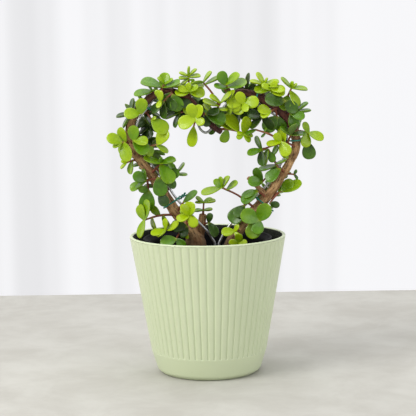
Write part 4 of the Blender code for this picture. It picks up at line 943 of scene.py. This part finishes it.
# %% Heart wire
def pushed_clear(points, around, radius):
    """The points moved away from each wood's centre line until the surfaces clear."""
    moved = points.copy()
    for centres, radii in around:
        offsets = moved[:, None] - centres
        near = np.argmin(np.linalg.norm(offsets, axis=2), axis=1)
        offset = offsets[np.arange(len(moved)), near]
        spread = np.linalg.norm(offset, axis=1)
        need = np.maximum(spread, radii[near] + radius + 4 * GAP)
        moved = centres[near] + offset * (need / spread)[:, None]
    return moved


wire_knots = smooth_route(HEART, WIRE_SPACING) * MM + np.array(SOIL_LEVEL)
wire_knots = pushed_clear(wire_knots, woods, WIRE_RADIUS)
wire_path = smooth_route(wire_knots / MM, 1.6) * MM
zinc = Finish("galvanised_wire", Metallic=1.0)
at = zinc.place()
spangle = zinc.cells(at, 420.0)
tarnish = zinc.noise(at, 130.0, 4.0, 0.6)
zinc.shade(Base_Color=zinc.blend((0.42, 0.43, 0.45), (0.68, 0.69, 0.71), spangle + (tarnish - 0.5)),
           Roughness=0.30 + tarnish * 0.25)
zinc.bumped(tarnish, 0.00008)
wire = bar_shell(wire_path, np.full(len(wire_path), WIRE_RADIUS), 14, (0.0, 1.0, 0.0), blunt=0.2)
wire_heart = piece("wire_heart", [wire], [zinc], ["heart_wire"])
print("wire:", len(wire_heart.data.polygons), "faces")

# %% [markdown]
# ## Ties
# Each tie is a plastic-coated wire laid once round stem and wire, with its ends twisted together.
# The loop is an ellipse about both; the tails are two strands of a helix round one axis.

# %% Twisted ties
LOOP_POINTS = 60
TAIL_POINTS = 16
TAIL_HALF_TURNS = 2.2


def tie_paths(centres, radii, near_wire, place_at, tail_angle):
    """The loop with its two twisted tails as one path, and the stem's direction there."""
    start = np.array((place_at[0] * MM, 0.0, place_at[1] * MM)) + np.array(SOIL_LEVEL)
    near = int(np.argmin(np.linalg.norm(centres - start, axis=1)))
    centre, radius = centres[near], radii[near]
    along = unit(centres[near + 1] - centres[near - 1])
    gaps = near_wire - centre
    beside = gaps[int(np.argmin(np.linalg.norm(gaps, axis=1)))]
    beside = beside - along * (beside @ along)
    reach = np.linalg.norm(beside)
    side = beside / reach
    face = np.cross(along, side)
    clear = TIE_RADIUS + 3 * GAP
    half_long = (radius + reach + WIRE_RADIUS) / 2 + clear + GAP
    half_wide = radius + clear + GAP
    middle = centre + side * ((reach + WIRE_RADIUS - radius) / 2)
    turn = math.radians(tail_angle)
    share = np.linspace(0, 1, LOOP_POINTS)[:, None]
    angle = turn + 2 * math.pi * share
    loop = (middle + side * half_long * np.cos(angle) + face * half_wide * np.sin(angle)
            + along * TIE_PITCH * (share - 0.5))
    outward = unit(side * math.cos(turn) * half_long + face * math.sin(turn) * half_wide)
    out = np.linspace(0.05, 1, TAIL_POINTS)[:, None]
    spin = TAIL_HALF_TURNS * math.pi * out
    loose = TIE_PITCH / 2 * (1 - 0.25 * np.sin(math.pi * np.clip(out * 1.2, 0, 1)))
    twist = (along * np.cos(spin) + np.cross(outward, along) * np.sin(spin)) * loose
    foot = (loop[0] + loop[-1]) / 2
    first = foot + outward * TIE_TAIL * out - twist
    second = foot + outward * TIE_TAIL * out + twist
    return np.concatenate((first[::-1], loop, second)), along


teal = Finish("tie_plastic", Specular_IOR_Level=0.5)
at = teal.place()
wear = teal.noise(at, 320.0, 4.0, 0.6)
teal.shade(Base_Color=teal.blend((0.010, 0.150, 0.105), (0.025, 0.270, 0.190), wear),
           Roughness=0.34 + wear * 0.2)
teal.bumped(wear, 0.00008)
ties = []
coarse = {"left": wood_route(STEM_LEFT, WOOD_SPACING), "right": wood_route(STEM_RIGHT, WOOD_SPACING)}
for name, x, z, tail in TIES:
    centres, radii = coarse["left" if x < 0 else "right"]
    path, along = tie_paths(centres, radii, wire_knots, (x, z), tail)
    loop = bar_shell(path, np.full(len(path), TIE_RADIUS * 0.92), 10, along + 0.02)
    ties.append(piece(f"{name}_twist", [loop], [teal], [name]))
print(len(ties), "ties")

# %% [markdown]
# ## Growing the shoots
# A leaf has to clear wood, wire, pots and every other leaf, or the plant looks like cut paper
# pushed together. So each leaf is first tried as a plain faceted blade: if that meets anything, it
# tries a small turn, lean or smaller size, always in the same order, and the first that is clear
# stays. The frame's solids were grown by this same rule, so the fine leaves land where they are.

# %% Trying leaves against what is there
TWIG_BASE_RADIUS = 0.0014
TWIG_TIP_RADIUS = 0.0008
TWIG_BOW = 0.06
TWIG_CLEAR = 0.0018  # least distance of a leaf's root from the wood
LEAF_THICKNESS = 0.0026
LEAF_SINK = 0.0009  # how far a leaf's root goes into its twig
LEAF_BREADTH = 0.88
YOUNG_LEAF_BREADTH = 0.62
FULL_GROWN = 0.014
LEAF_OUTLINE = ((0.36, 0.74), (0.74, 1.0), (0.98, 0.48))
LEAF_CREST = 0.58
LEAF_STALK_SHARE = 0.4
LIGHT = Vector((-0.25, -0.52, 0.82)).normalized()
SIDE_TILT = 0.8
UP_TILT = 0.4
HEADING_REACH = 0.15
CLEAR_STEP = 0.04


def surface(mesh):
    """A search tree of a mesh's faces, with its lowest and highest corners."""
    corners = np.zeros(len(mesh.vertices) * 3)
    mesh.vertices.foreach_get("co", corners)
    corners = corners.reshape(-1, 3)
    mesh.calc_loop_triangles()
    faces = np.zeros(len(mesh.loop_triangles) * 3, np.int32)
    mesh.loop_triangles.foreach_get("vertices", faces)
    tree = BVHTree.FromPolygons(corners.tolist(), faces.reshape(-1, 3).tolist())
    return tree, corners.min(axis=0), corners.max(axis=0)


def probe_twig(path):
    """The coarse four-sided twig that leaves are tried against."""
    curve = bpy.data.curves.new("probe", "CURVE")
    curve.dimensions = "3D"
    curve.bevel_depth = 1.0
    curve.bevel_resolution = 0
    curve.use_fill_caps = True
    spline = curve.splines.new("POLY")
    spline.points.add(len(path) - 1)
    radii = np.linspace(TWIG_BASE_RADIUS, TWIG_TIP_RADIUS, len(path))
    for knot, point, radius in zip(spline.points, path, radii):
        knot.co = (*point, 1.0)
        knot.radius = radius
    item = linked("probe", curve)
    mesh = final_mesh(item)
    bpy.data.objects.remove(item, do_unlink=True)
    found = surface(mesh)
    bpy.data.meshes.remove(mesh)
    return found


def leaf_breadth(length):
    share = np.minimum(1.0, length / FULL_GROWN)
    return YOUNG_LEAF_BREADTH + (LEAF_BREADTH - YOUNG_LEAF_BREADTH) * share


def probe_leaf(root, direction, face, length, margin=0.0):
    """An outline with one crest above it and one below, as a search tree with its corners."""
    side = face.cross(direction)
    half = leaf_breadth(length) * length / 2 + margin
    crest = LEAF_THICKNESS / 2 + margin
    whole = LEAF_SINK + length + margin
    near = root - direction * LEAF_SINK
    outline = [(0.0, 0.0), *LEAF_OUTLINE, *((along, -across) for along, across in reversed(LEAF_OUTLINE))]
    corners = [near + direction * whole * along + side * half * across for along, across in outline]
    middle = near + direction * whole * LEAF_CREST
    corners += [middle + face * crest, middle - face * crest]
    count = len(outline)
    faces = []
    for first in range(count):
        second = (first + 1) % count
        faces += [(first, second, count), (second, first, count + 1)]
    corners = np.array([corner[:] for corner in corners])
    return BVHTree.FromPolygons(corners.tolist(), faces), corners.min(axis=0), corners.max(axis=0)


def bearing(clock, lean):
    """The direction at a clock angle as seen from the front, leaning to the front."""
    clock, lean = math.radians(clock), math.radians(lean)
    return Vector((math.cos(lean) * math.cos(clock), -math.sin(lean), math.cos(lean) * math.sin(clock)))


def leaf_face(direction, heading):
    """The upper face looks towards the shoot's tip, most on one that grows up, and to the light."""
    face = heading * SIDE_TILT + Vector((0.0, 0.0, UP_TILT * max(0.0, heading.z))) + LIGHT
    face -= direction * face.dot(direction)
    return face.normalized()


def trials():
    """Turns (degrees), leans (degrees) and sizes that a leaf tries, in order."""
    for size in (1.0, 0.88, 0.76, 0.64):
        for turn, lean in ((0, 0), (9, 0), (-9, 0), (0, 10), (0, -10), (18, 6), (-18, 6), (18, -8),
                           (-18, -8), (0, 24), (0, -24), (30, 0), (-30, 0), (26, 20), (-26, 20)):
            yield turn, lean, size


def meets(found, other):
    tree, low, high = found
    if np.any(low > other[2]) or np.any(high < other[1]):
        return False
    return bool(tree.overlap(other[0]))


def fitted_leaf(root, heading, clock, lean, length, obstacles, siblings):
    """The first trial of a leaf that clears everything, or None."""
    for turn, more_lean, size in trials():
        direction = bearing(clock + turn, lean + more_lean)
        face = leaf_face(direction, heading)
        span = length * size
        probe = probe_leaf(root, direction, face, span, 1.5 * GAP)
        if any(meets(probe, other) for other in obstacles):
            continue
        stalk = LEAF_STALK_SHARE * span
        outer = probe_leaf(root + direction * stalk, direction, face, span - stalk)
        if any(meets(outer, other) for other in siblings):
            continue
        return (root, direction, face, span), outer
    return None


print("a leaf tries up to", len(list(trials())), "ways to fit")

# %% Shoots and their leaves
def shoot_path(start, tip):
    """Three points on a gentle upward bow from start to tip."""
    bow = Vector((0.0, 0.0, TWIG_BOW * (tip - start).length))
    return [start, (start + tip) / 2 + bow, tip]


def along_path(path, share):
    at_knot = share * (len(path) - 1)
    index = min(int(at_knot), len(path) - 2)
    return path[index].lerp(path[index + 1], at_knot - index)


def heading_at(path, share):
    ahead = along_path(path, min(1.0, share + HEADING_REACH))
    return (ahead - along_path(path, max(0.0, share - HEADING_REACH))).normalized()


def clear_share(path, share):
    """The share moved along the path until it is clear of all wood."""
    while share < 1.0:
        point = np.array(along_path(path, share))
        spare = min((np.linalg.norm(centres - point, axis=1) - radii).min() for centres, radii in woods)
        if spare > TWIG_CLEAR:
            break
        share = min(1.0, share + CLEAR_STEP)
    return share


def rooted(point):
    """The point brought inside the nearest wood."""
    best = None
    for centres, radii in woods:
        offsets = np.array(point) - centres
        distances = np.linalg.norm(offsets, axis=1)
        near = int(np.argmin(distances))
        if best is None or distances[near] - radii[near] < best[0]:
            best = (distances[near] - radii[near], centres[near], offsets[near], radii[near])
    _, centre, offset, radius = best
    reach = np.linalg.norm(offset)
    return Vector(centre + offset * min(1.0, 0.5 * radius / max(reach, 1e-9)))


def back_shoots(stems):
    """Long shoots behind the stems, whose opposite pairs each turn a quarter from the last."""
    rows = []
    for node, side, first, last in BACK_SHOOTS:
        centres, radii = stems[side]
        picks = [round(share * (len(centres) - 1)) for share in np.linspace(first, last, 4)]
        path = [Vector(centres[picks[0]])]
        for pick in picks[1:]:
            behind = max(BACK_OFFSET, radii[pick] + BACK_CLEARANCE)
            path.append(Vector(centres[pick]) + Vector((0.0, behind, 0.0)))
        leaves = []
        for pair in range(BACK_PAIRS):
            share = BACK_FIRST_PAIR + (1 - BACK_FIRST_PAIR) * pair / (BACK_PAIRS - 1)
            heading = heading_at(path, share)
            across = heading.cross(Vector((0.0, 1.0, 0.0))).normalized()
            across = Quaternion(heading, math.radians(BACK_FIRST_TURN + 90 * pair)) @ across
            for sign in (1, -1):
                aim = (heading * BACK_LEAF_SWEEP + across * sign).normalized()
                leaves.append((share, math.degrees(math.atan2(aim.z, aim.x)),
                               -math.degrees(math.asin(aim.y)), BACK_LEAF - BACK_LEAF_STEP * pair))
        rows.append((node, path, BACK_YOUTH, leaves))
    return rows


def front_shoots():
    """The rows of SHOOTS with their paths in metres; a side shoot starts clear of the wood."""
    rows = []
    firsts = {}
    for node, start, tip, youth, leaves in SHOOTS:
        if isinstance(start, tuple):
            foot = rooted(Vector(start) * MM + SOIL_LEVEL)
        else:
            foot = along_path(firsts[node], clear_share(firsts[node], start))
        path = shoot_path(foot, Vector(tip) * MM + SOIL_LEVEL)
        firsts.setdefault(node, path)
        rows.append((node, path, youth, leaves))
    return rows


def grown(rows, solids):
    """Each node's shoots with the leaves that fit: node -> list of (path, youth, leaves)."""
    plants = {}
    twigs = []
    for node, path, youth, _ in rows:
        plants.setdefault(node, []).append((path, youth, []))
        twigs.append((node, probe_twig(path)))
    placed = []
    turns = {}
    for node, path, _, leaves in rows:
        turns[node] = turns.get(node, -1) + 1
        kept = plants[node][turns[node]][2]
        obstacles = solids + [tree for owner, tree in twigs if owner != node]
        obstacles += [tree for owner, tree, _ in placed if owner != node]
        siblings = [outer for owner, _, outer in placed if owner == node]
        for share, clock, lean, length in leaves:
            share = clear_share(path, share)
            fitted = fitted_leaf(along_path(path, share), heading_at(path, share), clock, lean,
                                 length * MM, obstacles, siblings)
            if fitted:
                kept.append((share, *fitted[0]))
                siblings.append(fitted[1])
                placed.append((node, probe_leaf(*fitted[0]), fitted[1]))
    return plants


fixed = [surface(item.data) for name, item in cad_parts.items() if not name.startswith("sprig_")]
plants = grown(front_shoots() + back_shoots({"left": woods[0], "right": woods[2]}), fixed)
leaf_count = sum(len(leaves) for shoots in plants.values() for _, _, leaves in shoots)
print(leaf_count, "leaves found room on", len(plants), "sprigs")

# %% [markdown]
# ## Leaves and twigs
# A jade leaf is a thick egg, widest past its middle, with a blunt tip and a wedge for a stalk. It
# cups a little and bends. One leaf's grid of rings is worked out once and then placed for every
# leaf of a shoot together. Age, the distance to the rim and the side it shows are stored on
# its points, because the finish needs them: a young leaf is yellow-green with a pale rim, an old
# one dark and glossy, and every underside is dull and grey.

# %% Leaf template
LEAF_ROWS = np.array((0.012, 0.09, 0.22, 0.38, 0.54, 0.69, 0.82, 0.92, 0.98))
LEAF_COLUMNS = 10
LEAF_WAIST = 0.85
STALK_BREADTH = 0.11  # of the leaf's


def leaf_template():
    """Rings from stalk to tip: share along, across (-1 to 1) and up (-1 to 1) for each point."""
    grid = turned(np.ones((len(LEAF_ROWS), 1)), -turn_angles(LEAF_COLUMNS), LEAF_ROWS[:, None])
    return with_poles(grid[..., [2, 0, 1]], (0, 0, 0), (1, 0, 0)), closed_faces(*grid.shape[:2])


def leaf_shells(leaves, ages, seed):
    """All leaves of a shoot. Half breadth is u**WAIST (1-u)**form scaled to 1 at its widest, held
    to a stalk near u = 0; thickness is a flat ellipse; the two halves rise from the midline as a
    boat's sides do, and the whole leaf bends with the square of u."""
    picks = np.random.default_rng(seed)
    template, faces = leaf_template()
    along, across, up = template.T
    root, direction, face = (np.array([leaf[part][:] for leaf in leaves])[:, None] for part in (0, 1, 2))
    length = np.array([leaf[3] for leaf in leaves])[:, None]
    count = len(leaves)
    side = np.cross(face, direction)
    form = picks.uniform(0.42, 0.55, (count, 1))
    width = along ** LEAF_WAIST * (1 - along).clip(0) ** form
    peak = LEAF_WAIST / (LEAF_WAIST + form)
    width = width / (peak ** LEAF_WAIST * (1 - peak) ** form)
    width = np.maximum(width, STALK_BREADTH * (along > 0) * (along < 0.5))
    half = 0.48 * leaf_breadth(length) * length * width
    thick = 0.5 * LEAF_THICKNESS * np.minimum(1.0, 0.5 + 0.9 * along) * (1 - along ** 8) ** 0.5
    thick = thick * np.minimum(1.0, 0.45 + length / 0.016)
    cup = picks.uniform(0.16, 0.55, (count, 1))
    bend = picks.uniform(-0.10, 0.10, (count, 1))
    twist = picks.uniform(-0.16, 0.16, (count, 1))
    lift = (cup * half * (np.abs(across) ** 1.3 - 0.25) - bend * length * along ** 2
            + twist * across * half * along)
    out = -LEAF_SINK + along * (length + LEAF_SINK)
    points = (root + out[..., None] * direction + (across * half)[..., None] * side
              + (up * thick + lift)[..., None] * face)
    rim = np.maximum(np.abs(across) ** 6, np.clip((along - 0.9) / 0.1, 0, 1))
    own = np.repeat(np.arange(count) * 0.05, len(template))
    return copied_shell(points, faces, {
        "age": np.repeat(ages, len(template)), "rim": np.tile(rim, count),
        "under": np.tile((up < -0.2).astype(float), count), "along": np.tile(along, count),
        "mid": np.tile(1 - np.abs(across), count), "seed": np.repeat(picks.random(count), len(template)),
        "grain": np.stack((out.ravel(), (across * half).ravel(), own), axis=1)})


def twig_shell(path, youth, shares):
    """A twig: a bow through the path's points, thicker at its foot, swollen at each leaf pair."""
    route = smooth_route([tuple(point / MM) for point in path], 0.9) * MM
    t = np.linspace(0, 1, len(route))
    radius = TWIG_BASE_RADIUS + (TWIG_TIP_RADIUS - TWIG_BASE_RADIUS) * t
    joints = np.exp(-((t[:, None] - np.array([*shares, 2.0])) * 9) ** 2).max(axis=1)
    chord = np.array((path[-1] - path[0]).normalized())
    across = np.eye(3)[int(np.argmin(np.abs(chord)))]
    return bar_shell(route, radius * (0.92 + 0.22 * joints), 8, across, blunt=0.8, finish=1,
                     marks={"age": youth * t, "rim": t, "under": joints, "along": t, "mid": t, "seed": t})


print("leaf:", LEAF_COLUMNS * (len(LEAF_ROWS) + 1), "faces")

# %% Leaf and twig finishes
leaf = Finish("jade_leaf", Specular_IOR_Level=0.3, Coat_Roughness=0.14)
grain = leaf.mark("grain", "Vector")
age, rim, under, seed, mid, along = leaf.marks("age", "rim", "under", "seed", "mid", "along")
blotch = leaf.noise(grain, 260.0, 3.0, 0.5)
pores = leaf.noise(grain, 2600.0, 2.0, 0.6)
# Painted shade and light: (along - 0.6) * 0.18 darkens each leaf towards its stalk and lightens it towards
# its tip.
tone = (age + (seed - 0.5) * 0.30 + (blotch - 0.5) * 0.25 + (along - 0.6) * 0.18).clamped()
old = leaf.blend((0.018, 0.048, 0.004), (0.095, 0.245, 0.001), tone.step(0.0, 0.5))
green = leaf.blend(old, (0.370, 0.520, 0.001), tone.step(0.35, 1.0))
green = leaf.blend(green, (0.520, 0.600, 0.040), rim.step(0.6, 1.0) * (0.10 + age * 0.40))
green = leaf.blend(green, (0.400, 0.500, 0.010), (1 - along.step(0.0, 0.25)) * 0.4)
vein = mid.step(0.88, 1.0) * (1 - along.step(0.5, 0.95))
green = leaf.blend(green, (0.380, 0.520, 0.040), vein * 0.20)
dull = leaf.blend(green, (0.260, 0.360, 0.110), 0.45)
leaf.shade(Base_Color=leaf.blend(green, dull, under * 0.7),
           Roughness=0.34 + under * 0.18 + blotch * 0.10,
           Coat_Weight=0.42 - under * 0.30 - age * 0.20)
leaf.bumped(blotch * 0.8 + pores * 0.12 - vein * 0.5, 0.0004)

twig = Finish("twig_skin", Specular_IOR_Level=0.4)
grain = twig.mark("grain", "Vector")
age, groove_foot_shade_and_twig_node = twig.marks("age", "under")
streak = twig.noise(twig.stretched(grain, (1.0, 1.0, 0.2)), 1500.0, 4.0, 0.6)
red = twig.blend((0.105, 0.024, 0.016), (0.320, 0.090, 0.040), streak)
red = twig.blend(red, (0.360, 0.330, 0.050), age.step(0.55, 1.0) * 0.6)
twig.shade(Base_Color=twig.blend(red, (0.440, 0.240, 0.120), groove_foot_shade_and_twig_node * 0.35), Roughness=0.45 + streak * 0.2)
twig.bumped(streak, 0.0003)

sprigs = []
for number, (node, shoots) in enumerate(plants.items()):
    shells = []
    for turn, (path, youth, leaves) in enumerate(shoots):
        if leaves:
            ages = np.array([youth * (0.75 + 0.25 * share) for share, *_ in leaves])
            shells.append(leaf_shells([place[1:] for place in leaves], ages, 100 * number + turn))
        shells.append(twig_shell(path, youth, [share for share, *_ in leaves]))
    sprigs.append(piece(f"leafy_{node}", shells, [leaf, twig], [f"sprig_{node}"],
                        levels=1))
print(len(sprigs), "leafy sprigs,", sum(len(item.data.polygons) for item in sprigs),
      "faces before smoothing")

# %% [markdown]
# ## Floor, backdrop, light and camera
# A pale stone top ends 0.38 m behind the pot, and a white cloth hangs well behind it, so that the
# object can be seen from every side. The cloth glows by its own emission, which is painted light,
# and its glow is lighter and darker in upright stripes, which are painted shade of folds. The light
# comes softly from the upper left: a big panel, a weak one on the right, one above, and white
# surroundings. None of it is part of the object.

# %% Stage
CAMERA_DOWN = 7.2  # degrees
CAMERA_ROLL = -0.8


def stage_sheet(name, corner, across, up, counts, wave=None):
    """A flat grid from a corner along two directions, moved by a wave where one is given."""
    u = np.linspace(0, 1, counts[0])[None, :, None]
    v = np.linspace(0, 1, counts[1])[:, None, None]
    grid = np.array(corner) + u * np.array(across) + v * np.array(up)
    if wave is not None:
        grid = grid + wave(grid)
    index = np.arange(counts[0] * counts[1]).reshape(counts[1], counts[0])
    quads = np.stack((index[:-1, :-1], index[:-1, 1:], index[1:, 1:], index[1:, :-1]), axis=-1)
    mesh = bpy.data.meshes.new(name)
    mesh.from_pydata(grid.reshape(-1, 3).tolist(), [], quads.reshape(-1, 4).tolist())
    mesh.polygons.foreach_set("use_smooth", np.ones(len(mesh.polygons), bool))
    item = linked(name, mesh)
    return item


def folds(grid):
    """Soft upright folds: slow sines across the cloth, in and out of its plane."""
    x = grid[..., :1]
    depth = 0.024 * np.sin(x * 9 + 0.7) + 0.014 * np.sin(x * 20 + 2.0) + 0.008 * np.sin(x * 39)
    return depth * np.array((0.0, 1.0, 0.0))


floor = stage_sheet("floor", (-3.0, -3.0, 0.0), (6.0, 0.0, 0.0), (0.0, 3.38, 0.0), (3, 3))
cloth = stage_sheet("backdrop", (-5.0, 2.6, -3.0), (10.0, 0.0, 0.0), (0.0, 0.0, 7.0), (900, 3), folds)
stone = Finish("pale_stone", Specular_IOR_Level=0.25)
at = stone.place()
patches = stone.noise(at, 14.0, 7.0, 0.66, 0.3)
stone.shade(Base_Color=stone.blend((0.465, 0.450, 0.412), (0.550, 0.540, 0.502), patches.step(0.3, 0.7)),
            Roughness=0.7)
floor.data.materials.append(stone.material)
# The cloth shines by its own glow, painted light; the stripes in its glow are painted shade and light of
# folds.
white = Finish("glowing_white_cloth", Base_Color=(0.10, 0.10, 0.10, 1.0), Roughness=0.9, Emission_Strength=1.0)
painted_fold_shade = white.noise(white.stretched(white.place(), (1.0, 0.0, 0.01)), 3.4, 3.0, 0.5).step(0.36, 0.56)
white.shade(Emission_Color=white.blend((0.700, 0.700, 0.715), (0.850, 0.850, 0.870), painted_fold_shade))
cloth.data.materials.append(white.material)


def panel(name, place, aim, size, power, colour):
    """A square light of this size that stands at a place and faces an aim."""
    light = bpy.data.lights.new(name, "AREA")
    light.shape = "SQUARE"
    light.size = size
    light.energy = power
    light.color = colour
    item = linked(name, light)
    item.location = place
    item.rotation_euler = (Vector(aim) - Vector(place)).to_track_quat("-Z", "Y").to_euler()


panel("key", (-1.3, -0.95, 1.25), (0.0, 0.0, 0.12), 1.0, 25.0, (1.0, 0.99, 0.965))
panel("fill", (1.4, -1.1, 0.7), (0.0, 0.0, 0.12), 1.2, 8.0, (0.97, 0.985, 1.0))
panel("top", (0.0, 0.1, 1.6), (0.0, 0.0, 0.1), 1.2, 10.0, (1.0, 1.0, 1.0))
world = bpy.data.worlds.new("surroundings")
world.use_nodes = True
surround = world.node_tree.nodes["Background"]
surround.inputs["Color"].default_value = (1.0, 1.0, 1.0, 1.0)
surround.inputs["Strength"].default_value = 0.54
bpy.context.scene.world = world
bpy.context.scene.view_settings.view_transform = "Standard"

camera = linked("camera", bpy.data.cameras.new("camera"))
camera.data.lens = 126.6
camera.location = (0.0007, -1.300, 0.312)
camera.rotation_euler = (math.radians(90 - CAMERA_DOWN), 0.0, 0.0)
camera.rotation_euler.rotate_axis("Z", math.radians(CAMERA_ROLL))
bpy.context.scene.camera = camera
print("camera", round(camera.location.length, 3), "m from the origin")

# %% [markdown]
# ## Last update
# The fine surfaces must keep the frame's size. The scene is updated once more.

# %% Update the scene
bpy.context.view_layer.update()
